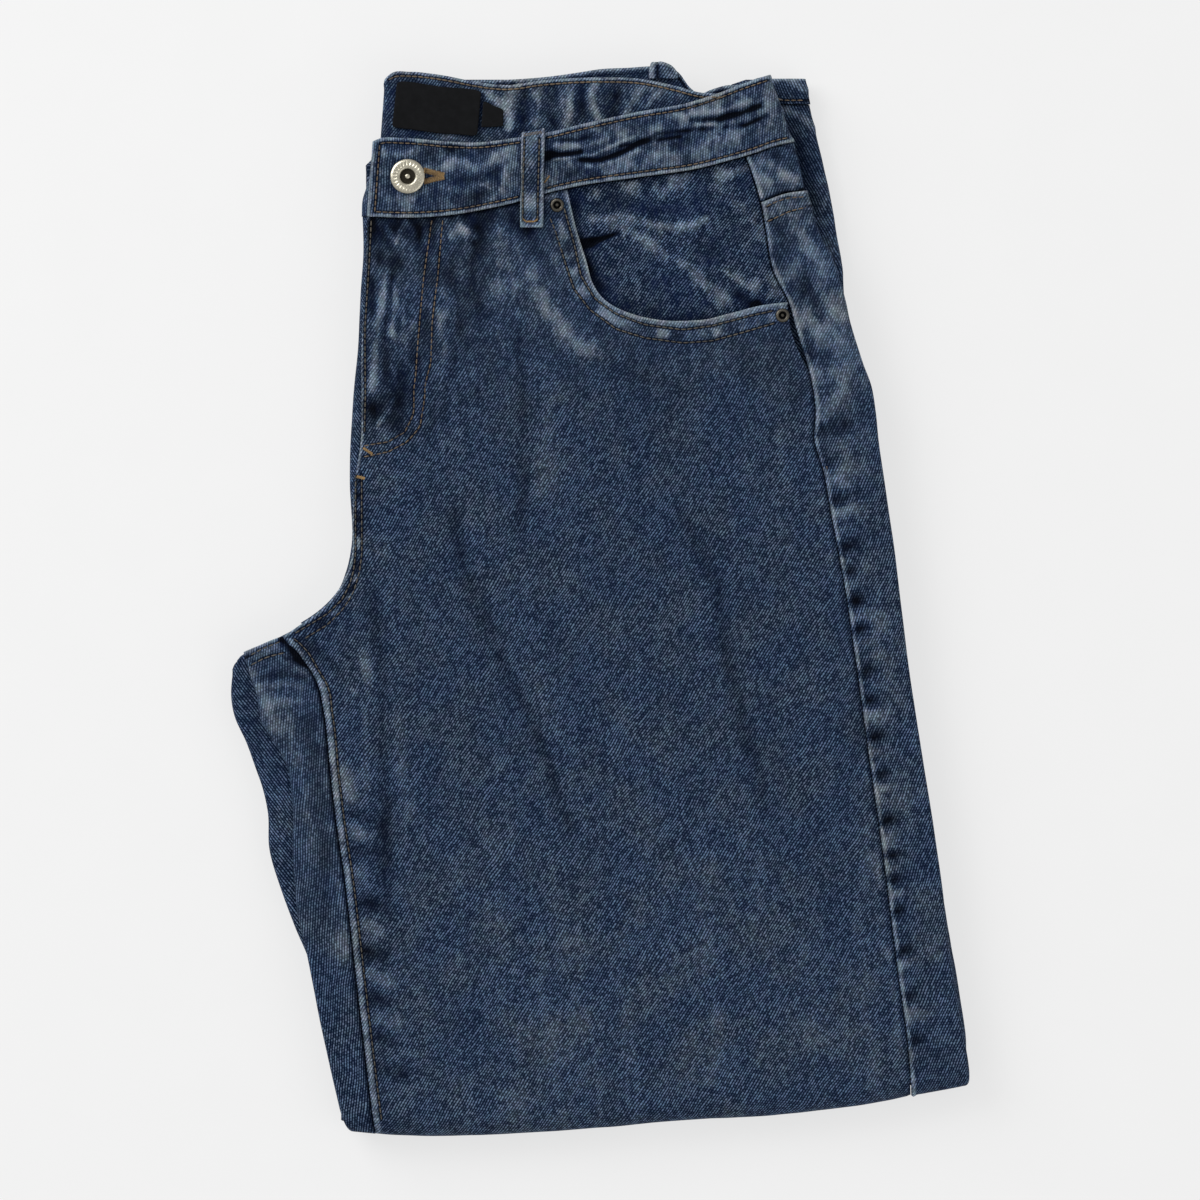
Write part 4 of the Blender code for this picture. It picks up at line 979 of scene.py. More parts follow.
YOKE_STITCHES = (
    ((79.6, 188.4), (84, 190.6), (89.8, 192.6), (98.2, 193.2)),
    ((80.2, 181.2), (86, 184), (92, 186.6), (101, 188.6)),
)
yoke_seam_line = line_of(YOKE_SEAM, 74, 104, 12, swapped=False)
STRIP_SPREAD = ((0, 0), (9, 5), (48, 44), (63, 63))
BELOW_YOKE, YOKE_LEVEL = 145.0, 196.0
OUTSEAM_SPANS = (*KNEE_SPANS, *LEG_SPANS, *HIP_SPANS, (OPENING_Y, BELOW_YOKE, 20), (BELOW_YOKE, YOKE_LEVEL, 28))
STRIP_COUNTS, HIP_TUCK = (44, 14, 5), 14.0


# %% The outseam strip
outseam_place = leg_strip(
    OUTSEAM_SPANS, STRIP_COUNTS, SIDE_SEAM, SEAM_GAP / 2, FOLD_EDGE, HIP_TUCK, YOKE_SEAM, BELOW_YOKE, YOKE_LEVEL,
)


def outseam_relief(x, y, cut):
    cut_x, cut_y = cut
    height, wear = creased(HIP_CREASES, cut_x, cut_y)
    off, run = near(side_seam_line, cut_x, cut_y)
    for at_y, size, out in ROPING:
        at_x = along(SIDE_SEAM, at_y) + out * 0.75
        tilt = at_y + 0.25 * (cut_x - at_x)
        beside_seam = bell(cut_x, at_x, size * 1.1)
        hollow = beside_seam * bell(cut_y, tilt, size * 0.62)
        bump = beside_seam * bell(cut_y, tilt - BUMP_BELOW, size * 0.6)
        height += 0.6 * bump - 0.7 * hollow
        # The hollows are darkened with painted shade, and the bumps are rubbed pale.
        wear += 0.18 * bump - 0.45 * hollow
    ripple = puckers(side_seam_line, cut_x, cut_y, 6, 7, 21)
    height += 0.45 * ripple + soft_noise(cut_x, cut_y * 0.6, 15, 22) * 0.35
    wear += 0.3 * ripple + soft_noise(cut_x, cut_y, 9, 23) * 0.06
    hip = smooth_step(cut_y, 60, 120)
    wear += hip * (0.01 + 0.12 * soft_noise(cut_x, cut_y * 0.5, 6, 25) + 0.08 * soft_noise(cut_x, cut_y, 3, 26))
    cord = bell(off, 1.3, 1.0)
    height += 0.75 * cord
    wear += (0.36 + 0.26 * soft_noise(run, off, 2.2, 24)) * cord
    height -= 0.5 * beside(cut_x, cut_y, side_seam_line, 0.9)
    below_seam = near(yoke_seam_line, cut_x, cut_y)[0]
    lap = bell(below_seam, 1.1, 1.1)
    strip = 1 - smooth_step(below_seam, 8.5, 10.5)
    roped = roping(between(*YOKE_STITCHES), cut_x, cut_y, 3.2, 2.6, 27)
    height += 0.5 * strip + 0.4 * lap + 0.3 * roped
    wear += 0.22 * lap + 0.02 * strip + 0.25 * roped
    return height, wear


back_left_outseam = panel(
    "jeans_back_left_outseam", sum(STRIP_COUNTS), count_of(OUTSEAM_SPANS), outseam_place, CLOTH, back_denim,
    relief=outseam_relief, edges=[yoke_seam_line], stitched=YOKE_STITCHES,
    column_spread=STRIP_SPREAD,
)
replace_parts(back_left_outseam, "back_left_outseam")

# %% [markdown]
# ## The inner thigh
# Left of the inseam the left back panel turns under at the inner thigh. Short creases fan out below the crotch,
# where four panels meet and pull on each other.

# %% Left back panel at the inseam
INNER_CREASES = (
    (1.3, -0.5, -0.3, ((-166, -39), (-160, -37), (-151, -36))),
    (2.0, 0.5, 0.16, ((-163, -43), (-152, -40), (-143, -43))),
    (1.5, -0.6, -0.6, ((-153.5, -19), (-150.4, -23), (-146.4, -27), (-143.4, -30.5))),
    (1.0, -0.6, -0.7, ((-151.5, -28), (-146, -28.6), (-142.4, -30))),
    (1.2, -0.4, -0.25, ((-148, -36), (-142, -37.5), (-137, -42))),
    (1.4, 0.3, 0.14, ((-147, -33), (-142, -34.5), (-138, -41))),
    (3, 0.5, 0.16, ((-158, -50), (-146, -49))),
    (4, 0.5, 0.12, ((-149, -60), (-140, -90), (-136, -130))),
    (5, -0.5, -0.16, ((-140, -62), (-134, -100), (-131, -150))),
    (5, 0.4, 0.08, ((-128, -130), (-122, -190))),
    (3, 0.5, 0.2, ((-168, -34), (-161, -48), (-156, -62))),
)
INNER_SPANS = (*KNEE_SPANS, *LEG_SPANS)
INNER_COUNTS, INNER_TUCK = (30, 12, 4), 16.0
BACK_RISE_ROWS = (
    ((-170.5, -28.2), (-162, -23.6), (-153.5, -20.3)),
    ((-167.6, -31.5), (-160, -27.6), (-151.5, -25.6)),
)


# %% The inner thigh strip
inner_place = leg_strip(
    INNER_SPANS, INNER_COUNTS, INSEAM, -SEAM_GAP, INNER_EDGE, INNER_TUCK, CROTCH_TOP, BELOW_CROTCH, CROTCH_Y,
)


def inner_relief(x, y, cut):
    cut_x, cut_y = cut
    height, wear = creased(INNER_CREASES, cut_x, cut_y)
    ripple = puckers(inseam_line, cut_x, cut_y, 9, 7, 31)
    height += 0.4 * ripple + 0.25 * soft_noise(cut_x, cut_y * 0.5, 12, 32)
    wear += 0.16 * ripple + 0.04 * soft_noise(cut_x, cut_y, 9, 33)
    groove = beside(cut_x, cut_y, inseam_line, 2.6)
    height -= 0.7 * groove
    # Painted shade in the groove beside the inseam.
    wear -= 0.45 * groove
    seam = 1 - smooth_step(along(CROTCH_TOP, x) - y, 5, 7.5)
    height += 0.4 * seam
    wear += 0.14 * seam
    return height, wear


back_left_inseam = panel(
    "jeans_back_left_inseam", sum(INNER_COUNTS), count_of(INNER_SPANS), inner_place, CLOTH, thigh_denim,
    relief=inner_relief, edges=[line_of(CROTCH_TOP, -176, -141, swapped=False)], stitched=BACK_RISE_ROWS,
    flip=True,
)
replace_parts(back_left_inseam, "back_left_inseam")

# %% [markdown]
# ## Yoke and pocket facing
# The yoke is the small shaped piece between the back panel and the waistband. Its lower seam is felled, so it shows
# as a pale fold with two rows of sewing. The pocket facing is the denim seen inside the pocket opening. It is loose
# there, so it has the deepest folds of the whole front, and one makes a slot beside the opening that is darkened
# with painted shade.

# %% Yoke
YOKE_ROWS, YOKE_MIDDLE = 30, 205.0
YOKE_CREASES = (
    (3, 0.8, 0.3, ((78, 209), (86, 206), (93, 202))),
    (3, -0.6, -0.25, ((84, 213), (91, 207))),
    (2.5, 0.5, 0.2, ((76, 203), (82, 200))),
)


def yoke_place(column, row):
    y = np.full(np.shape(column), YOKE_MIDDLE)
    for _ in range(3):
        x, z, cut_x = fold_section(
            column, STRIP_COUNTS, along(SIDE_SEAM, y) + SEAM_GAP / 2, along(FOLD_EDGE, y), leg_height(y),
            pile_height(y) + LAY_GAP, HIP_TUCK,
        )
        y = mix(along(YOKE_SEAM, x), along(BAND_LOWER, x) - 2 * SEAM_GAP, row / YOKE_ROWS)
    return x, y, z, cut_x, y


def yoke_relief(x, y, cut):
    height, wear = creased(YOKE_CREASES, *cut)
    groove = beside(x, y, yoke_seam_line, 2.2)
    cord = bell(near(side_seam_line, x, y)[0], 1.3, 1.0)
    height += 0.6 * cord - 0.5 * groove
    # The groove beside the yoke seam is darkened with painted shade; the cord is rubbed pale.
    wear += 0.4 * cord - 0.5 * groove + 0.16 * soft_noise(*cut, 5, 41) + 0.1 * soft_noise(*cut, 3, 42)
    return height, wear


yoke_left = panel(
    "jeans_yoke_left", sum(STRIP_COUNTS), YOKE_ROWS, yoke_place, CLOTH, back_denim, relief=yoke_relief,
)
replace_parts(yoke_left, "yoke_left")

# %% Creases of the pocket facing
FACING_CREASES = (
    (6, 1.5, 0.08, ((-4, 184), (10, 184.5), (26, 181), (45, 179))),
    (2.2, 0.8, 0.26, ((-3, 182), (10, 183.7), (18.4, 182.4), (26.7, 179.6), (35, 178.2), (45, 180), (52, 183.5))),
    (4, -0.5, -0.15, ((-14, 189), (4, 189.5), (22, 188), (38, 187))),
    (4, 1.0, 0.1, ((-2, 178), (7, 179.5))),
    (2.4, -2.0, -0.95, ((-13, 170.4), (-5, 171.2))),
    (1.4, -1.6, -0.85, ((-8, 170.8), (1, 173.2), (9, 176.0))),
    (4.5, 1.2, 0.12, ((12, 177), (31, 165), (48, 153), (69, 138.5))),
    (3.2, 0.7, 0.16, ((18, 175), (34, 164), (48, 153), (64, 140.5))),
    (3.5, 0.9, 0.1, ((57, 160), (66, 152), (76, 146.5), (83, 143))),
    (2.8, 0.5, 0.14, ((58, 159), (68.5, 151), (79, 145))),
    (5, -0.6, -0.16, ((52, 168), (60, 156), (68, 146))),
    (3, -0.5, -0.25, ((66, 146), (72, 143), (78, 140))),
    (6, 1.0, 0.06, ((54, 200), (66, 192), (71, 178))),
    (3.0, 0.8, 0.26, ((73, 209), (67, 206), (61, 204))),
    (3.5, 1.0, 0.14, ((76, 150), (84, 150), (87, 146))),
    (2.2, -0.8, -0.4, ((74, 139), (77, 145), (80, 150))),
    (3.0, -0.4, -0.2, ((-8, 164), (0, 152), (12, 143), (26, 138.5))),
    (4, 0.6, 0.12, ((64, 193), (76, 180), (80, 168))),
    (2.5, 0.3, 0.14, ((84, 180), (88, 166), (92, 152))),
)

# %% Pocket facing
FACING_COLUMNS, FACING_ROWS = 110, 84
UNDERLAP, FACING_MIDDLE = 6.0, 170.0


def facing_place(column, row):
    """From the waist seam to just beneath the pocket opening's lower edge."""
    lower = tuple((x, y - UNDERLAP) for x, y in POCKET_EDGE[3:])
    left = POCKET_EDGE[0][0] - UNDERLAP
    corner_x, corner_y = lower[0]
    y = np.full(np.shape(column), FACING_MIDDLE)
    for _ in range(4):
        right = along(SIDE_SEAM, y) - SEAM_GAP
        x = mix(left, right, column / FACING_COLUMNS)
        slope = mix(corner_y + 2, corner_y, (x - left) / (corner_x - left))
        lower_y = np.where(x < corner_x, slope, along(lower, x))
        y = mix(lower_y, along(BAND_LOWER, x) - SEAM_GAP, row / FACING_ROWS)
    return x, y, leg_height(y) - CLOTH - LAY_GAP, x, y


def facing_relief(x, y, cut):
    height, wear = creased(FACING_CREASES, x, y)
    rim, _ = near(pocket_line, x, y)
    open_part = smooth_step(rim, 0.5, 7) * smooth_step(along(SIDE_SEAM, y) - x, 1, 6)
    ripple = puckers(band_lower_line, x, y, 7, 9, 42)
    height += 0.9 * ripple + 0.35 * soft_noise(x, y, 14, 43)
    under_band = near(band_lower_line, x, y)[0]
    wear += 0.55 * ripple + 0.1 * soft_noise(x, y, 10, 44) + 0.08 * soft_noise(x, y, 4, 45)
    wear += 0.12 * bell(under_band, 5, 4) + 0.05
    outside = x < along([(y_, x_) for x_, y_ in POCKET_EDGE[:5]], y) - 0.5
    open_part = np.where(outside, 0, open_part)
    # Painted shade: the facing is darkened close under the edge of the pocket opening.
    return height * open_part - 0.5 * (1 - open_part), wear - 0.2 * (1 - smooth_step(rim, 0, 5))


pocket_facing = panel(
    "jeans_pocket_facing", FACING_COLUMNS, FACING_ROWS, facing_place, CLOTH, facing_denim,
    relief=facing_relief,
)
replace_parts(pocket_facing, "pocket_facing")

# %% [markdown]
# ## The right half, where it shows
# The right leg lies under the left one. A sliver of it shows along the fly, round the left side and beside the
# crotch. At the top right the folded-under lower leg stands out beyond the hip, with its turned hem.

# %% A panel that shows as a strip along an edge
def edge_fold(name, node, spans, flap, edge_table, heights, beneath, wall, material, counts=(16, 14, 4), top_row=None,
              flip=False, relief=None, stitched=(), blend_from=None, edges=(), outset=0.0):
    """A panel that shows as a strip along an outer edge and goes round it."""
    inward = 1 if flip else -1

    def place(column, row):
        level = levels_at(spans, row)
        y = level
        for _ in range(3):
            edge_x = along(edge_table, y) + outset
            x, z, cut_x = fold_section(
                column, counts, edge_x - outset + inward * flap, edge_x, *heights(y), beneath
            )
            if blend_from is not None:
                up = np.clip((level - blend_from) / (levels_at(spans, count_of(spans)) - blend_from), 0, 1)
                y = np.where(up > 0, mix(blend_from, top_row(x), up), level)
        return x, y, z, cut_x, y

    piece = panel(name, sum(counts), count_of(spans), place, wall, material, relief=relief, edges=edges,
                  stitched=stitched, flip=flip)
    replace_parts(piece, node)
    return piece


def soft_relief(seed, strength=0.4, pale=0.08):
    def relief(x, y, cut):
        height = strength * soft_noise(cut[0], cut[1] * 0.6, 14, seed)
        return height, pale * soft_noise(*cut, 9, seed + 1) + 0.25 * height

    return relief


# %% The right leg
edge_fold(
    "jeans_front_right", "front_right", ((-11, 24, 20), (24, 183.9, 84)), 13, UNDER_EDGE,
    lambda y: (leg_height(y) - CLOTH - LAY_GAP, PLY_TOPS[1] + LAY_GAP), 7, CLOTH, shade_denim,
    flip=True, relief=soft_relief(51),
)
edge_fold(
    "jeans_back_right", "back_right", ((-190, BELOW_CROTCH, 70), (BELOW_CROTCH, -20, 24)), 19, UNDER_EDGE,
    lambda y: (PILE_AT_LEG + 0 * y, PLY_TOPS[1] + LAY_GAP + 0 * y), 10, CLOTH, shade_denim,
    flip=True, relief=soft_relief(53), blend_from=BELOW_CROTCH,
    top_row=lambda x: along(CROTCH_TOP, x) - SEAM_GAP,
)

# %% The lower leg and its hem
lower_denim = denim("denim_lower_leg", 118, 0.27, 0.06, 0.06, 1.1)
LOWER_CREASES = (
    (2.2, 0.8, 0.3, ((88, 236.4), (93.6, 234.5), (98.4, 231), (102, 227))),
    (5, -0.5, -0.2, ((92, 226), (96, 210), (103, 190))),
    (5, 0.4, 0.12, ((106, 200), (110, 180), (114, 160))),
)


def lower_relief(x, y, cut):
    height, wear = creased(LOWER_CREASES, x, y)
    return height + 0.3 * soft_noise(*cut, 12, 55), wear + 0.08 * soft_noise(*cut, 8, 56)


HEM_CREASES = ((2.0, 0.7, 0.3, ((83, 248.9), (89.8, 250.8), (93.6, 248.9), (99, 245.5))),)


def hem_relief(x, y, cut):
    height, wear = creased(HEM_CREASES, x, y)
    return height, wear + 0.1 * soft_noise(*cut, 4, 57)


edge_fold(
    "jeans_lower_leg", "lower_leg", ((127, 238.2, 62),), 18, LOWER_EDGE,
    lambda y: (PLY_TOPS[1] - LAY_GAP + 0 * y, PLY_TOPS[0] + LAY_GAP + 0 * y), 14, CLOTH, lower_denim,
    counts=(20, 12, 4), relief=lower_relief,
)
edge_fold(
    "jeans_lower_leg_hem", "lower_leg_hem", ((238.5, 250.6, 14),), 17.7, LOWER_EDGE,
    lambda y: (PLY_TOPS[1] + HEM - CLOTH + 0 * y, PLY_TOPS[0] + LAY_GAP + 0 * y), 13, HEM, lower_denim,
    counts=(22, 12, 4), relief=hem_relief, outset=0.3,
    stitched=[[(78, 240.2), (102, 240.2)]], edges=[[(78, 250.6), (101, 250.6)]],
)

# %% [markdown]
# ## Waistbands
# A waistband is two plies of denim with a stiffener between, here 37.5 mm deep. Worn and folded, it wrinkles along its
# length, more at the side than at the button. Both of its edges are folded, so they are rubbed palest. Behind it the
# inside of the back waistband shows, with short upright folds where the band has been bunched.

# %% Creases of the left front waistband: the deepest are darkened nearly black with painted shade
BAND_CREASES = (
    (2.6, -1.4, -0.9, ((-29, 212.6), (-25, 212.8))),
    (1.3, -1.2, -0.85, ((-25, 213), (-20.5, 213.1), (-13.4, 213.7), (-9, 214.6))),
    (1.2, -1.2, -0.85,
     ((-9.5, 211.1), (-4, 210.6), (0.6, 210.7), (9.6, 213.8), (14, 216), (20.2, 219.6), (25.8, 221.6))),
    (1.1, 1.0, 0.45, ((-22.4, 211.2), (-12.2, 212.1), (-3.2, 213.0), (5.1, 217.0), (9.6, 218.7), (16, 222))),
    (1.1, -1.0, -0.6, ((10, 217.6), (19, 219.2), (27, 220.1), (38.4, 222))),
    (1.1, -1.0, -0.5, ((26.4, 223.0), (40.8, 224.8), (54.2, 226.2))),
    (1.5, -1.2, -0.85, ((43.7, 229.6), (57.6, 230.6), (68, 233.4), (76.8, 236.8))),
    (1.1, -0.9, -0.5, ((60, 226.5), (70, 227.5), (80, 232))),
    (1.0, -0.7, -0.4, ((-22, 220.5), (-12, 220), (-4, 222))),
    (1.6, 0.9, 0.25, ((-22, 217.6), (-14, 217.0), (-5, 217.6), (4, 221))),
    (1.5, 0.8, 0.3, ((-14, 208.6), (-3, 207.6), (8, 210.6), (20, 215.6))),
    (1.8, 1.0, 0.36, ((24, 232.6), (33, 233.4), (38.9, 232.1), (43.2, 229.2), (54.7, 227.6))),
    (1.6, 0.8, 0.32, ((45, 233), (58, 234), (72, 239))),
    (4, 0.8, 0.06, ((-20, 223), (2, 226.5), (22, 231))),
    (3.5, 0.8, 0.06, ((-20, 204), (0, 204.5), (22, 210), (50, 217), (80, 227))),
    (2.5, 0.6, 0.18, ((28, 214), (30, 219))),
    (2.2, 0.6, 0.2, ((14, 209), (15, 213))),
    (3.0, -0.4, -0.22, ((20, 212), (22, 216))),
    (3.0, -0.4, -0.22, ((-14, 205), (-8, 206))),
    (3.0, -0.4, -0.2, ((36, 218), (46, 221))),
    (2.5, 0.7, 0.24, ((-74, 212.5), (-67, 211), (-60, 206))),
    (2.4, 0.7, 0.3, ((-83, 207), (-76, 207), (-71, 209.5))),
    (2.8, 0.7, 0.26, ((-61, 203), (-55, 208), (-47, 213), (-42, 216))),
    (3.5, -0.6, -0.24, ((-66, 199), (-57, 202), (-50, 208))),
    (3.5, -0.6, -0.24, ((-80, 214), (-72, 215), (-66, 213))),
    (2.6, 0.6, 0.25, ((-72, 197), (-62, 198), (-54, 199))),
    (3, -0.5, -0.2, ((-80, 193), (-66, 192), (-52, 195))),
    (2.8, 0.6, 0.24, ((-102, 192), (-92, 192), (-84, 196))),
    (2.2, 0.6, 0.22, ((-104, 214), (-98, 213), (-88, 214))),
    (2.0, 0.5, 0.2, ((-50, 193), (-46, 200), (-44, 208))),
)

# %% The left front waistband
BAND_COUNTS, BAND_ROWS = (240, 16, 6), 46
BAND_DEEP, BAND_TUCK = 37.5, 14.0
LOOP_X, BUTTON_AT = -33.0, (-92.2, 202.8)
band_end_line = [BAND_LOWER[0], BAND_UPPER[0]]
BAND_EDGES = (band_lower_line, band_upper_line, band_end_line)


def band_place(column, row):
    share = row / BAND_ROWS
    start = mix(BAND_LOWER[0][0], BAND_UPPER[0][0], share)
    end = mix(BAND_LOWER[-1][0], BAND_UPPER[-1][0], share)
    y = np.full(np.shape(column), BAND_LEVEL_FROM)
    for _ in range(3):
        x, z, cut_x = fold_section(column, BAND_COUNTS, start, end, band_height(y), INSIDE_BAND - BAND, BAND_TUCK)
        y = mix(along(BAND_LOWER, x), along(BAND_UPPER, x), share)
    return x, y, z, cut_x, BAND_DEEP * share


def band_relief(x, y, cut):
    cut_x, cut_y = cut
    height, wear = creased(BAND_CREASES, x, y)
    ripple = puckers(band_upper_line, x, y, 6, 6, 61) + puckers(band_lower_line, x, y, 5.5, 6, 62)
    height += 0.45 * ripple + 0.3 * soft_noise(cut_x, cut_y, 13, 63)
    clouds = soft_noise(cut_x, cut_y * 0.7, 7, 64) + soft_noise(cut_x, cut_y * 0.6, 3.4, 65)
    wear += 0.33 * ripple + 0.16 * clouds
    # Folded edges: a pale cord all round
    cord = np.maximum.reduce([bell(near(line, x, y)[0], 1.1, 1.1) for line in BAND_EDGES])
    height = height * smooth_step(edge_distance(BAND_EDGES[:2], x, y), 0.5, 5) + 0.45 * cord
    wear += 0.16 * cord
    # Pressed flat under the belt loop and the button
    under_loop = np.exp(-(((x - LOOP_X) / 9) ** 4))
    under_button = np.exp(-((np.hypot(x - BUTTON_AT[0], y - BUTTON_AT[1]) / 10) ** 6))
    return height * (1 - 0.85 * under_loop) * (1 - under_button), wear + 0.1 * smooth_step(x, -20, 30)


def inset_line(table, start, end, inset, count=50):
    xs = np.linspace(start, end, count)
    return list(zip(xs, along(table, xs) + inset))


BAND_STITCHES = (
    inset_line(BAND_LOWER, -107.6, -39, 2.4),
    inset_line(BAND_LOWER, -25.6, 90, 2.4),
    inset_line(BAND_UPPER, -105.5, -38, -2.5),
    inset_line(BAND_UPPER, -25.6, 80.5, -2.5),
    [(-108.0, 185.6), (-106.8, 202), (-105.6, 218.2)],
)
waistband_front_left = panel(
    "jeans_waistband_front_left", sum(BAND_COUNTS), BAND_ROWS, band_place, BAND, band_denim,
    relief=band_relief, edges=BAND_EDGES, stitched=BAND_STITCHES,
)
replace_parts(waistband_front_left, "waistband_front_left")

# %% Inside of the back waistband
INSIDE_CREASES = (
    (2.6, 1.1, 0.34, ((-43, 226), (-44, 236), (-39, 247))),
    (2.4, 1.0, 0.3, ((-31, 228), (-29, 238), (-33, 247))),
    (2.4, 1.2, 0.36, ((-15, 228), (-15, 240), (-13, 248))),
    (2.2, 1.1, 0.34, ((0, 230), (-5, 240), (-2, 248))),
    (2.4, 1.0, 0.3, ((13, 234), (16, 240), (22, 247))),
    (2.2, 1.0, 0.3, ((24, 238), (28, 243), (32, 246))),
    (2.4, 0.9, 0.26, ((36, 238), (38, 243))),
    (3, -0.9, -0.3, ((-37, 226), (-37, 244))),
    (3, -0.9, -0.3, ((-22, 228), (-23, 246))),
    (2.6, -0.9, -0.32, ((-8, 230), (-9, 246))),
    (2.6, -0.9, -0.3, ((7, 232), (8, 245))),
    (2.4, 0.7, 0.3, ((-54, 243), (-48, 238), (-44, 228))),
    (3, 0.4, 0.2, ((-84, 222.5), (-76, 224), (-66, 222))),
)
INSIDE_COUNTS, INSIDE_ROWS, INSIDE_TUCK = (190, 14, 6), 40, 12.0
inside_upper_line = line_of(INSIDE_UPPER, -104, 61, swapped=False)


def inside_place(column, row):
    share = row / INSIDE_ROWS
    x, z, cut_x = fold_section(
        column, INSIDE_COUNTS, 59.5 + 0 * share, mix(-106.0, -103.4, share), INSIDE_BAND, UNDER_BAND - BAND,
        INSIDE_TUCK,
    )
    y = mix(BACK_BANDS_FROM, along(INSIDE_UPPER, x), share)
    return x, y, z, cut_x, y


def inside_relief(x, y, cut):
    height, wear = creased(INSIDE_CREASES, x, y)
    under_labels = smooth_step(x, -46, -40) + 1 - smooth_step(x, -104, -100)
    height = height * np.clip(under_labels, 0, 1)
    height += 0.2 * soft_noise(*cut, 8, 71) * smooth_step(x, -46, -40)
    wear += 0.16 * soft_noise(cut[0], cut[1] * 0.5, 5, 72) + 0.1 * soft_noise(*cut, 3, 73)
    seam = bell(near(inside_upper_line, x, y)[0], 1.6, 1.6)
    return height * (1 - 0.7 * seam) + 0.4 * seam, wear + 0.1 * seam


INSIDE_STITCHES = (inset_line(INSIDE_UPPER, -101.5, 59, -2.2),)
waistband_back_left = panel(
    "jeans_waistband_back_left", sum(INSIDE_COUNTS), INSIDE_ROWS, inside_place, BAND, inside_denim,
    relief=inside_relief, edges=[inside_upper_line], stitched=INSIDE_STITCHES, flip=True,
)
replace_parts(waistband_back_left, "waistband_back_left")

# %% The right waistbands
under_upper_line = line_of(UNDER_UPPER, -86.5, 80, swapped=False)
UNDER_COLUMNS, UNDER_ROWS = 110, 26


def under_place(column, row):
    x = mix(-86.5, 80.0, column / UNDER_COLUMNS)
    y = mix(BACK_BANDS_FROM, along(UNDER_UPPER, x), row / UNDER_ROWS)
    return x, y, UNDER_BAND + 0 * x, x, y


def under_relief(x, y, cut):
    seam = bell(near(under_upper_line, x, y)[0], 1.2, 1.2)
    return 0.25 * seam - 0.1, 0.12 * soft_noise(*cut, 7, 74) + 0.12 * seam


waistband_back_right = panel(
    "jeans_waistband_back_right", UNDER_COLUMNS, UNDER_ROWS, under_place, BAND, inside_denim,
    relief=under_relief, edges=[under_upper_line], stitched=[inset_line(UNDER_UPPER, -86, 79, -2.6)],
)
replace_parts(waistband_back_right, "waistband_back_right")

FRONT_RIGHT_FOLD = ((184, -114.4), (192, -114), (200, -111.6), (212.5, -109.5))
edge_fold(
    "jeans_waistband_front_right", "waistband_front_right", ((184, 213.2, 28),), 27, FRONT_RIGHT_FOLD,
    lambda y: (band_height(y) - BAND - LAY_GAP, PLY_TOPS[1] + LAY_GAP + 0 * y), 6, BAND, band_denim,
    counts=(14, 16, 4), flip=True, relief=soft_relief(75, 0.2),
)

# %% [markdown]
# ## Belt loops
# A belt loop is a strip folded in three, here 11 mm wide, with a row of sewing near each edge and a bar tack at both
# ends. Its folded edges are rubbed pale, like the band's, and so is its face where it bends over the waist seam.

# %% Belt loops
LOOP_COLUMNS, LOOP_ROWS = 22, 84
LOOP_FOOT, LOOP_HEAD_X, LOOP_HALF = (-32.8, 178.4), -32.0, 5.5


def loop_place(column, row):
    across = mix(-LOOP_HALF, LOOP_HALF, column / LOOP_COLUMNS)
    x = mix(LOOP_FOOT[0], LOOP_HEAD_X, row / LOOP_ROWS) + across * (1 + 0.03 * np.sin(row / 9.0))
    edge = along(BAND_UPPER, x)
    y = mix(LOOP_FOOT[1], edge + 2.2, row / LOOP_ROWS)
    z = mix(leg_height(y), band_height(y) + 0.5, smooth_step(y, 182, 188)) + SEAM_GAP + CLOTH
    return x, y, z - 1.5 * smooth_step(y, edge + 0.4, edge + 2.4), across + LOOP_HEAD_X, y


def loop_relief(x, y, cut):
    across = np.abs(cut[0] - LOOP_HEAD_X)
    rim = bell(across, 4.7, 0.9)
    ends = bell(y, LOOP_FOOT[1] + 1.3, 1.6)
    height = 0.3 * rim + 0.25 * soft_noise(*cut, 7, 81) + 0.3 * ends - 0.5 * smooth_step(across, 4.9, 5.5)
    wear = 0.2 * rim + 0.14 * soft_noise(*cut, 6, 82) + 0.04 * ends + 0.16
    wear += 0.3 * (bell(y, 190, 4.5) - bell(y, 199, 6)) * (1 - rim)
    return height, wear


LOOP_STITCHES = (
    [(-37.1, 181.5), (-36.9, 200), (-36.2, 221)],
    [(-30.0, 181.5), (-29.6, 200), (-29.0, 221)],
)
belt_loop_front = panel(
    "jeans_belt_loop_front", LOOP_COLUMNS, LOOP_ROWS, loop_place, CLOTH, loop_denim,
    relief=loop_relief, stitched=LOOP_STITCHES,
    edges=[[(-38.3, 178.4), (-37.5, 224)], [(-27.3, 178.4), (-26.5, 226)], [(-38.3, 178.4), (-27.3, 178.4)]],
)
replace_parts(belt_loop_front, "belt_loop_front")

# %% The top of the back belt loop
BACK_LOOP_COLUMNS, BACK_LOOP_ROWS = 26, 18
BACK_LOOP_FOOT = 250.2
BACK_LOOP_TOP = ((23.5, 254.2), (24.4, 256.9), (26.4, 258.1), (31.7, 257.8), (35, 256), (37.4, 253.2))


def back_loop_place(column, row):
    x = mix(BACK_LOOP_TOP[0][0], BACK_LOOP_TOP[-1][0], column / BACK_LOOP_COLUMNS)
    y = mix(BACK_LOOP_FOOT, along(BACK_LOOP_TOP, x), row / BACK_LOOP_ROWS)
    z = UNDER_BAND + SEAM_GAP + CLOTH + 0.6 * np.sin(math.pi * column / BACK_LOOP_COLUMNS)
    return x, y, z - 1.2 * smooth_step(row / BACK_LOOP_ROWS, 0.8, 1), x, y


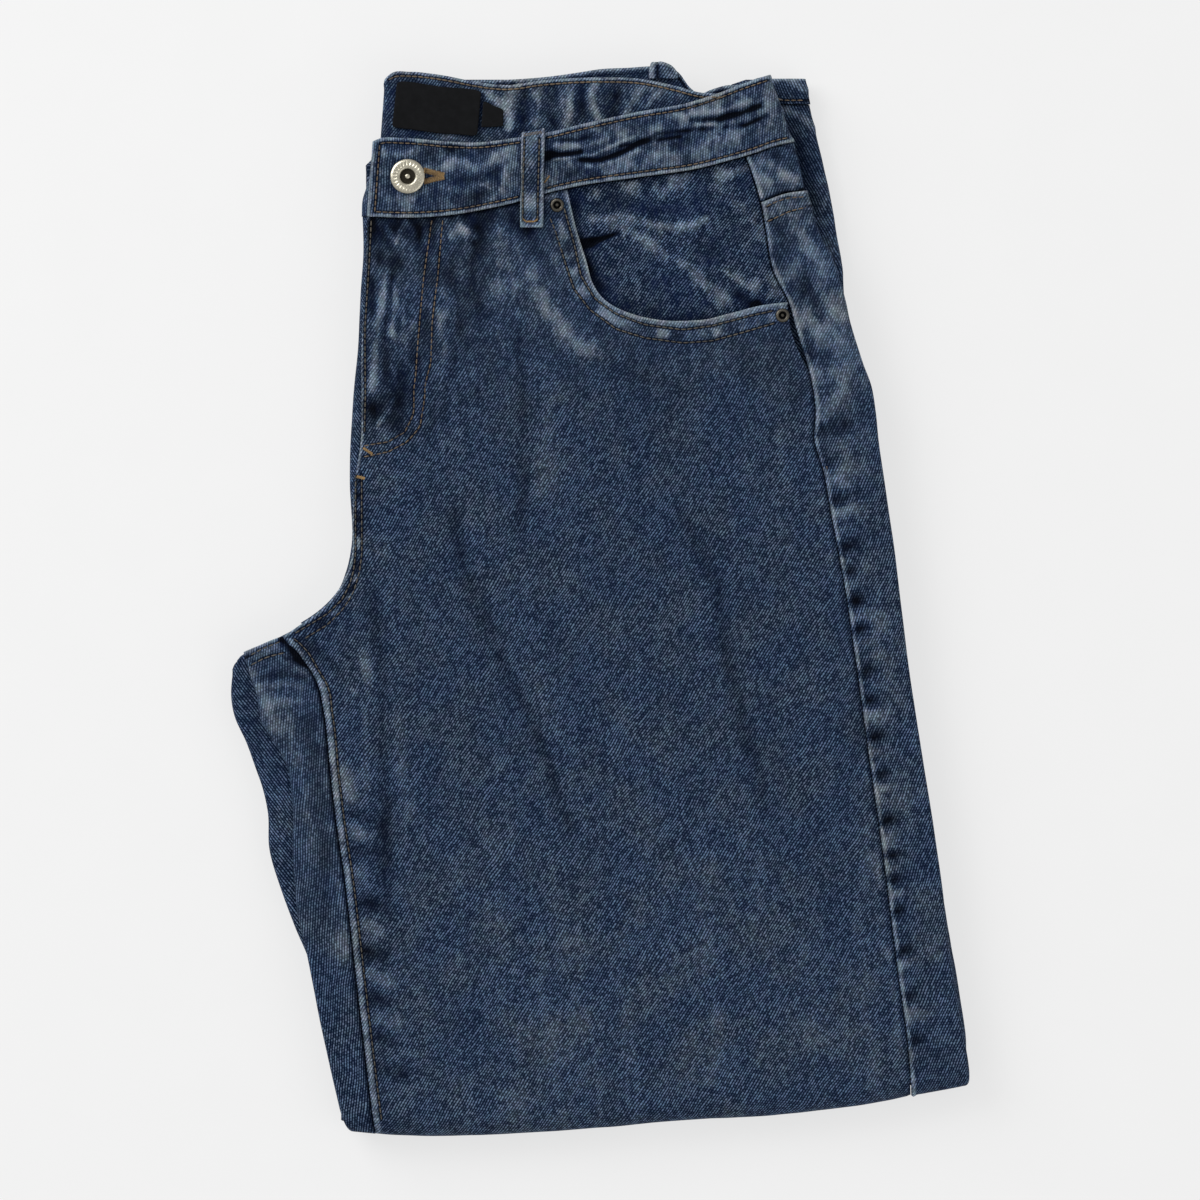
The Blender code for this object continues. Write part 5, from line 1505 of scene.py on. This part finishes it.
def back_loop_relief(x, y, cut):
    ridge = bell(x, 25.3, 1.1)
    groove = bell(x, 27.6, 0.8)
    # Painted shade in the groove beside the loop's folded ridge; the ridge itself is rubbed pale.
    return 0.6 * ridge - 0.5 * groove, 0.1 + 0.45 * ridge - 0.5 * groove + 0.1 * soft_noise(*cut, 4, 84)


belt_loop_back = panel(
    "jeans_belt_loop_back", BACK_LOOP_COLUMNS, BACK_LOOP_ROWS, back_loop_place, CLOTH, loop_denim,
    relief=back_loop_relief, edges=[[(23.5, 250), (23.5, 254.2), *BACK_LOOP_TOP[1:]]],
)
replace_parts(belt_loop_back, "belt_loop_back")

# %% [markdown]
# ## The hidden layers
# Under the top leg lie the right leg and the two folded-under lower legs. They are made as three rounded slabs, one
# on another, because only their edges ever show: from the side a viewer sees one rolled fold above the next. Each
# slab is a grid wrapped into a tube whose ends close to a rounded lip.

# %% Slabs
SLAB_ROWS, LIP_ROWS = 150, 5
ACROSS, ROUND = 26, 12  # columns over a slab, and round each of its edges
NOTCH_X, NOTCH_DEEP = 52.0, 7.5  # where the top ends dip, so that they stay hidden behind the waistbands
NOSE_Y = -243.0


def slab_edges(y):
    """Left and right edges of the three slabs, from the lowest up."""
    left, right = along(UNDER_EDGE, y), along(FOLD_EDGE, y)
    lower = mix(right, along(LOWER_EDGE, y), smooth_step(y, 120, 140))
    at_bands = smooth_step(y, 211.1, 214)
    left = mix(left, mix(-107, -100, smooth_step(y, 213, 250)), at_bands)
    return (
        (left + 2.4 + np.sin(y / 37), lower - 1.6 - 0.7 * np.sin(y / 31 + 1)),
        (left + 1.4 + 0.7 * np.sin(y / 29 + 2), lower - 1.2 - 0.6 * np.sin(y / 23) - 19 * smooth_step(y, 121, 125)),
        (left + 2 + 15 * smooth_step(y, -196, -191) * (1 - at_bands), mix(right - 1.6, 78, at_bands)),
    )


def slab_top(y):
    raised = mix(2.0, 0.2, smooth_step(y, 104, 120))
    bands = smooth_step(y, 211.0, 212.5)
    leg = pile_height(y) + raised * smooth_step(y, KNEE_MEAN, KNEE_MEAN + 18) - 0.2
    return mix(leg, UNDER_BAND - BAND - 0.5, bands)


# From y, to y, underside and top of each slab, from the lowest up
SLABS = (
    (KNEE_MEAN + KNEE_TAIL + 3.6, 247.2, lambda y: 0.0 * y, lambda y: PLY_TOPS[0] - 0.15 + 0 * y),
    (NOSE_Y, 247.6, lambda y: PLY_TOPS[0] + 0.1 + 0 * y, lambda y: PLY_TOPS[1] - 0.15 + 0 * y),
    (NOSE_Y, 247.8, lambda y: PLY_TOPS[1] + 0.1 + 0 * y, slab_top),
)


def slab_section(column, left, right, low, high):
    """x and z on a slab's outline: over its top, round its right edge, back beneath it and round its left edge."""
    half, middle = (high - low) / 2, (high + low) / 2
    straight_left, straight_right = left + half, right - half
    if column <= ACROSS:
        return mix(straight_left, straight_right, column / ACROSS), high
    column -= ACROSS
    if column <= ROUND:
        angle = math.pi * column / ROUND
        return straight_right + half * math.sin(angle), middle + half * math.cos(angle)
    column -= ROUND
    if column <= ACROSS:
        return mix(straight_right, straight_left, column / ACROSS), low
    angle = math.pi * (column - ACROSS) / ROUND
    return straight_left - half * math.sin(angle), middle - half * math.cos(angle)


def slab_place(index, column, row, from_y, to_y, bottom, top):
    """Where a grid point of a slab lies, and its place on the flat cut in mm."""
    lip = max(LIP_ROWS - row, row - SLAB_ROWS + LIP_ROWS, 0) / LIP_ROWS
    y = mix(from_y, to_y, min(max((row - LIP_ROWS) / (SLAB_ROWS - 2 * LIP_ROWS), 0), 1))
    low, high = float(bottom(y)), float(top(y))
    half, middle = (high - low) / 2, (high + low) / 2
    left, right = (float(v) for v in slab_edges(y)[index])
    x, z = slab_section(column, left, right, low, high)
    if low == 0 and z < 0.01:
        z = low  # the lowest slab rests on the floor
    notch = NOTCH_DEEP * math.exp(-(((x - NOTCH_X) / 11) ** 4)) * float(smooth_step(y, 200, 247))
    end_out = half * lip * (1 if row > SLAB_ROWS / 2 else -1)
    place_y = float(skewed(y + end_out, x)) - notch
    spot = Vector((x, place_y, middle + (z - middle) * math.sqrt(max(1 - lip * lip, 0)))) * MM
    from_middle = x - (left + right) / 2
    if z > low + 0.6 and abs(from_middle) > (right - left) / 2 - half * 1.2:
        ripple = 0.25 * float(soft_noise(np.array(y), np.array(z + index * 40), 17, 90 + index))
        spot.x += math.copysign(ripple, from_middle) * MM
    return spot, (x if column <= ACROSS else x + (high - z) * 1.6, place_y)


# %% Build the slabs
def make_folded_layers():
    bm = bmesh.new()
    cut_places = []
    columns = 2 * (ACROSS + ROUND)
    for index, slab in enumerate(SLABS):
        for vert in bmesh.ops.create_grid(bm, x_segments=columns, y_segments=SLAB_ROWS, size=0.5)["verts"]:
            column, row = round((vert.co.x + 0.5) * columns), round((vert.co.y + 0.5) * SLAB_ROWS)
            vert.co, on_cut = slab_place(index, column, row, *slab)
            cut_places.append(on_cut)
    layer = bm.loops.layers.uv.new("weave")
    bm.verts.index_update()
    for face in bm.faces:
        for corner in face.loops:
            corner[layer].uv = Vector(cut_places[corner.vert.index]) * MM
    bmesh.ops.remove_doubles(bm, verts=bm.verts, dist=0.00002)
    bmesh.ops.recalc_face_normals(bm, faces=bm.faces)
    piece = finish_piece("jeans_folded_layers", bm, shade_denim)
    plain = np.zeros(len(piece.data.vertices))
    write_marks(piece, plain, plain + FAR, plain + FAR)
    return piece


folded_layers = make_folded_layers()
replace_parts(folded_layers, "folded_layers")
print("slabs:", len(folded_layers.data.polygons), "faces")

# %% [markdown]
# ## Labels
# Two black woven labels are sewn inside the back waistband, left bare here. A woven label is a satin ribbon: fine
# ribs run across it and it shines more than denim. Its sides are a little bowed, because it is only sewn at the edges.


# %% Labels
def make_label_material():
    material, tree = new_material("label_satin", Specular_IOR_Level=0.12)
    place = place_on_cut(tree)
    ribs = add_node(tree, "ShaderNodeTexWave", {"Vector": place, "Scale": 1.1, "Distortion": 0.4, "Detail": 1.0},
                    bands_direction="Y").outputs[1]
    dust = noise(tree, place, 0.25, 3.0, 0.7)
    fluff = noise(tree, place, 2.2, 2.0, 0.8)
    shade = maths(tree, "MULTIPLY_ADD", ribs, 0.25, maths(tree, "MULTIPLY", dust, 0.6))
    tint = blend_colour(tree, ramp(tree, shade, 0.2, 0.8), (0.0022, 0.0024, 0.003, 1), (0.0085, 0.009, 0.0105, 1))
    lint = ramp(tree, fluff, 0.66, 0.76, 0.0, 0.35)
    tint = blend_colour(tree, lint, tint, (0.035, 0.037, 0.042, 1))
    return dress(material, tint, ramp(tree, ribs, 0.0, 1.0, 0.8, 0.68), (0.3, 0.0003, ribs))


label_satin = make_label_material()

# %% The two labels: corners from the lower left, counter-clockwise
MAIN_LABEL = ((-99.8, 226.3), (-59.0, 222.0), (-56.9, 244.1), (-97.4, 248.9))
SIZE_LABEL = ((-57.0, 226.5), (-46.4, 227.0), (-46.4, 235.0), (-56.0, 239.3))


CORNER_FROM = 1.86  # how far out a label's corner begins: 2 is its very tip


def make_label(name, node, corners, columns, rows, bow):
    (x0, y0), (x1, y1), (x2, y2), (x3, y3) = corners

    def place(column, row):
        across, up = column / columns, row / rows
        x = mix(mix(x0, x1, across), mix(x3, x2, across), up)
        y = mix(mix(y0, y1, across), mix(y3, y2, across), up)
        # Rounded corners, and edges that dip between stitches
        corner = np.maximum(np.abs(across * 2 - 1) + np.abs(up * 2 - 1) - CORNER_FROM, 0) / (2 - CORNER_FROM)
        x = mix(x, (x0 + x2) / 2, 0.03 * corner)
        y = mix(y, (y0 + y2) / 2, 0.05 * corner)
        y = y + bow * np.sin(across * 9) * np.abs(up * 2 - 1)
        return x, y, INSIDE_BAND + SEAM_GAP + LABEL + 0 * x, across * (x1 - x0), up * (y3 - y0)

    def relief(x, y, cut):
        return 0.35 * soft_noise(x, y, 11, 91) + 0.25, 0 * x

    piece = panel(name, columns, rows, place, LABEL, label_satin, relief=relief)
    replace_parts(piece, node)
    return piece


make_label("jeans_label_main", "label_main", MAIN_LABEL, 60, 34, 0.25)
make_label("jeans_label_size", "label_size", SIZE_LABEL, 18, 20, 0.1)

# %% [markdown]
# ## Button and rivets
# A jeans button is a stamped cap, clinched over a shank that goes through the cloth. Each rivet is a copper burr
# under a plated head. They are solids of revolution, so one profile of radius and height is spun round an axis.
# The cap gets a ring of plain notches where such buttons are usually embossed.


# %% Metal finish
def make_metal(name, bright, dark, rough, relief):
    """Metal that is dull with grime in its hollows. rough is how rough it is where it is bright."""
    material, tree = new_material(name, Metallic=1.0)
    place = place_on_object(tree)
    grime = noise(tree, place, 420.0, 4.0, 0.7)
    scratch = noise(tree, stretch(tree, place, (4000, 600, 900)), 1.0, 3.0, 0.6)
    hollow = maths(tree, "MULTIPLY_ADD", mark_of(tree, "hollow"), 3.2, -0.25)
    dull = maths(tree, "MULTIPLY_ADD", grime, 0.75, hollow, clamp=True)
    scratched = maths(tree, "ADD", dull, maths(tree, "MULTIPLY", scratch, 0.4))
    return dress(
        material, blend_colour(tree, dull, bright, dark), ramp(tree, scratched, 0.1, 1.2, rough, 0.75),
        (relief, 0.0002, maths(tree, "ADD", grime, scratch)),
    )


button_metal = make_metal("button_silver", (0.66, 0.62, 0.5, 1), (0.045, 0.04, 0.03, 1), 0.3, 0.35)
rivet_metal = make_metal("rivet_antique", (0.13, 0.12, 0.1, 1), (0.006, 0.006, 0.006, 1), 0.3, 0.4)


# %% Spin a profile
def smooth_profile(profile, steps=5):
    """Points (radius, height) with each corner rounded a little."""
    points = [Vector(p) for p in profile]
    rounded = [points[0]]
    for before, corner, after in zip(points, points[1:], points[2:]):
        near_in, near_out = corner.lerp(before, 0.3), corner.lerp(after, 0.3)
        for step in range(steps):
            share = step / (steps - 1)
            rounded.append(near_in.lerp(corner, share).lerp(corner.lerp(near_out, share), share))
    return [*rounded, points[-1]]


def turned_piece(name, material, at, foot, profile, hollow_depth, hollow_to, steps=72, notches=None):
    bm = bmesh.new()
    line = [bm.verts.new((radius, 0, height)) for radius, height in smooth_profile(profile)]
    edges = [bm.edges.new(pair) for pair in zip(line, line[1:])]
    bmesh.ops.spin(bm, geom=[*line, *edges], axis=(0, 0, 1), cent=(0, 0, 0), angle=math.tau, steps=steps,
                   use_merge=True)
    bmesh.ops.remove_doubles(bm, verts=bm.verts, dist=0.0005)
    bmesh.ops.recalc_face_normals(bm, faces=bm.faces)
    if notches:
        cut_notches(bm, *notches)
    highest = max(v.co.z for v in bm.verts)
    layer = bm.verts.layers.float.new("hollow")
    for vert in bm.verts:
        inside = min(max((hollow_to - math.hypot(vert.co.x, vert.co.y)) / 0.4, 0), 1)
        vert[layer] = inside * min(max((highest - vert.co.z) / hollow_depth - 0.35, 0), 1)
    for vert in bm.verts:
        vert.co = (Vector((*at, foot)) + vert.co) * MM
    return finish_piece(name, bm, material)


def cut_notches(bm, count, inner, outer, depth):
    """Dips between small beads on the ring from inner to outer radius."""
    for vert in bm.verts:
        radius = math.hypot(vert.co.x, vert.co.y)
        if inner < radius < outer and vert.co.z > 1.5:
            wave = 0.5 - 0.5 * math.cos(math.atan2(vert.co.y, vert.co.x) * count)
            vert.co.z -= depth * wave * math.sin(math.pi * (radius - inner) / (outer - inner))


# %% Button and rivets: rows of (radius, height)
BUTTON_FOOT = float(band_height(BUTTON_AT[1])) + 0.6
CAP_PROFILE = (
    (0, 0), (6.5, 0), (7.9, 0.4), (8.4, 1.2), (8.2, 1.9), (7.5, 2.35), (6.4, 2.55), (5.3, 2.6), (4.3, 2.5),
    (3.8, 2.15), (3.5, 1.6), (3.4, 0.8), (0, 0.8),
)
button_cap = turned_piece(
    "jeans_button_cap", button_metal, BUTTON_AT, BUTTON_FOOT, CAP_PROFILE, 1.6, 4.0, steps=144,
    notches=(24, 4.9, 7.2, 0.28),
)
button_centre = turned_piece(
    "jeans_button_centre", button_metal, BUTTON_AT, BUTTON_FOOT + 1.1,
    ((0, 0), (1.3, 0), (1.3, 0.5), (0.9, 0.9), (0, 1.05)), 1.0, 1.6, steps=36,
)
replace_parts(button_cap, "button_cap")
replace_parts(button_centre, "button_centre")

RIVET_PROFILE = (
    (0, 0), (3.4, 0), (3.4, 0.4), (2.9, 0.95), (2.2, 1.1), (1.8, 0.75), (1.5, 0.35), (1.0, 0.4), (0.8, 0.8), (0, 0.95),
)
for rivet, at in (("rivet_waist", (-20.6, 189.2)), ("rivet_side", (87.6, 136.3))):
    foot = float(leg_height(at[1])) + 0.45
    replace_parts(turned_piece(f"jeans_{rivet}", rivet_metal, at, foot, RIVET_PROFILE, 0.5, 3.0, steps=60), rivet)

# %% [markdown]
# ## Stitches
# Topstitching in thick thread outlines every seam. Each stitch is its own small bead of thread, about 3 mm long, that
# dives into the cloth at both ends, so it is modelled as a stretched sphere with few faces. A ray cast straight down
# finds the cloth under each one, so the rows follow every crease.


# %% Thread material
def make_thread(name, shade, light):
    material, tree = new_material(name, Roughness=0.62, Sheen_Weight=0.15)
    place = place_on_object(tree)
    ply = noise(tree, place, 1800.0, 2.0, 0.6)
    patch = noise(tree, place, 70.0, 2.0, 0.6)
    mixed = maths(tree, "MULTIPLY_ADD", ply, 0.6, maths(tree, "MULTIPLY", patch, 0.6))
    colour = blend_colour(tree, ramp(tree, mixed, 0.35, 0.85), shade, light)
    return dress(material, colour, bump=(0.6, 0.0003, ply))


khaki_thread = make_thread("thread_khaki", (0.022, 0.02, 0.016, 1), (0.12, 0.105, 0.08, 1))
brown_thread = make_thread("thread_brown", (0.036, 0.026, 0.017, 1), (0.19, 0.135, 0.08, 1))
gold_thread = make_thread("thread_gold", (0.12, 0.066, 0.02, 1), (0.42, 0.26, 0.09, 1))


# %% Lay rows of stitches on the cloth
def cloth_surface():
    bm = bmesh.new()
    for piece in made_pieces.values():
        bm.from_mesh(piece.data)
    tree = BVHTree.FromBMesh(bm)
    bm.free()
    return tree


surface = cloth_surface()


def on_cloth(x, y):
    hit = surface.ray_cast(Vector((x, y, 60)) * MM, Vector((0, 0, -1)))[0]
    return hit.z / MM if hit else 0.0


def add_stitch(bm, start, end, radius, sink):
    first, last = (Vector((x, y, on_cloth(x, y) - sink)) for x, y in (start, end))
    along_it = last - first
    turn = along_it.to_track_quat("X", "Z").to_matrix().to_4x4()
    size = Matrix.Diagonal((along_it.length / 2, radius, radius * 0.8, 1))
    place = Matrix.Translation((first + last) / 2)
    bmesh.ops.create_uvsphere(bm, u_segments=6, v_segments=5, radius=1,
                              matrix=Matrix.Scale(MM, 4) @ place @ turn @ size @ Matrix.Rotation(math.pi / 2, 4, "Y"))


# %% Rows of stitches
def sew(name, rows, material=None, pitch=3.0, radius=0.34, fill=0.86, sink=0.02):
    """One object of stitches that follow the rows. fill is the share of the pitch that one stitch covers."""
    bm = bmesh.new()
    count = 0
    for points in rows:
        places = spaced_out(points, pitch)
        for start, end in zip(places, places[1:]):
            mid_x, mid_y = (start[0] + end[0]) / 2, (start[1] + end[1]) / 2
            reach_x, reach_y = (end[0] - start[0]) / 2 * fill, (end[1] - start[1]) / 2 * fill
            add_stitch(bm, (mid_x - reach_x, mid_y - reach_y), (mid_x + reach_x, mid_y + reach_y), radius, sink)
            count += 1
    print(name, count, "stitches")
    return mesh_object(name, bm, material or brown_thread)


threads = {
    "jeans_front_left": [
        sew("thread_fly", J_STITCH), sew("thread_rise", [*RISE_ROWS, FLY_EDGE_ROW], khaki_thread),
        sew("thread_pocket", POCKET_ROWS, khaki_thread), sew("thread_inseam", [INSEAM_ROW], khaki_thread, pitch=3.2),
    ],
    "jeans_back_left_inseam": [sew("thread_back_rise", BACK_RISE_ROWS, khaki_thread)],
    "jeans_back_left_outseam": [sew("thread_yoke", YOKE_STITCHES)],
    "jeans_waistband_front_left": [sew("thread_waistband", BAND_STITCHES, pitch=2.9)],
    "jeans_waistband_back_left": [
        sew("thread_waistband_inside", INSIDE_STITCHES, pitch=2.9, radius=0.46, fill=0.97),
    ],
    "jeans_belt_loop_front": [sew("thread_belt_loop", LOOP_STITCHES, khaki_thread, pitch=2.8)],
    "jeans_lower_leg_hem": [sew("thread_hem", [[(82, 240.2), (101, 240.2)]])],
}

# %% [markdown]
# ## Bar tacks and the buttonhole
# Where a seam takes strain, it ends in a bar tack: thread packed side by side across a short line. The keyhole
# buttonhole is bound the same way, and only its pointed end shows, because the button covers the eye.


# %% Packed thread
PACKED_SINK = -0.12


def packed(name, lines, material, reach, radius=0.26, pitch=0.5):
    """Short stitches side by side across each line, reach mm to either side. They stand a little proud."""
    bm = bmesh.new()
    for points in lines:
        places = spaced_out(points, pitch)
        for (ax, ay), (bx, by) in zip(places, places[1:]):
            step = math.hypot(bx - ax, by - ay)
            side_x, side_y = -(by - ay) / step * reach, (bx - ax) / step * reach
            add_stitch(bm, (ax - side_x, ay - side_y), (ax + side_x, ay + side_y), radius, PACKED_SINK)
    return mesh_object(name, bm, material)


# %% Tacks and the buttonhole
BUTTONHOLE = [[(-84.4, 205.9), (-79.4, 204.5), (-74.4, 203.3)], [(-84.4, 200.3), (-79.4, 201.6), (-74.4, 202.6)]]
threads["jeans_waistband_front_left"].append(packed("thread_buttonhole", BUTTONHOLE, gold_thread, 1.5))
threads["jeans_front_left"] += [
    packed("tack_fly", [[(-113.4, 72.6), (-109.0, 69.6)]], gold_thread, 0.8),
    packed("tack_fly_lower", [[(-116.5, 59.0), (-112.6, 58.0)]], gold_thread, 0.8),
]
threads["jeans_back_left_outseam"].append(
    packed("tack_side_seam", [[(108.0, 63.6), (109.2, 57.0)]], gold_thread, 1.1, radius=0.32)
)
threads["jeans_belt_loop_front"] += [
    packed("tack_loop_foot", [[(-37.0, 182.5), (-35.4, 181.2), (-31.4, 181.3), (-29.6, 182.6)]], gold_thread, 0.5),
    packed("tack_loop_side", [[(-26.6, 200.0), (-24.0, 203.4)]], gold_thread, 0.5),
    packed("tack_loop_head", [[(-36.4, 222.6), (-27.6, 224.0)]], brown_thread, 0.8),
]

# %% [markdown]
# ## Floor, and the body that carries the pieces
# The floor is pale paper. Every piece, and every row of thread sewn on it, is then tied to the one body that
# carries them all.


# %% Floor
PAPER_GLOW = 0.665


def make_floor():
    """Pale paper, 6 m across. Its own faint glow keeps it even where the lamps fall off."""
    material, tree = new_material(
        "pale_paper", Roughness=0.9, Emission_Color=(1, 1, 1, 1), Emission_Strength=PAPER_GLOW,
    )
    speckle = noise(tree, place_on_object(tree), 30.0, 3.0)
    dress(material, blend_colour(tree, speckle, (0.21, 0.21, 0.21, 1), (0.225, 0.225, 0.225, 1)))
    bm = bmesh.new()
    bmesh.ops.create_grid(bm, x_segments=1, y_segments=1, size=3)
    return mesh_object("floor", bm, material)


make_floor()

for name, piece in made_pieces.items():
    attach(piece, "root")
for sewn_on in threads.values():
    for piece in sewn_on:
        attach(piece, "root")
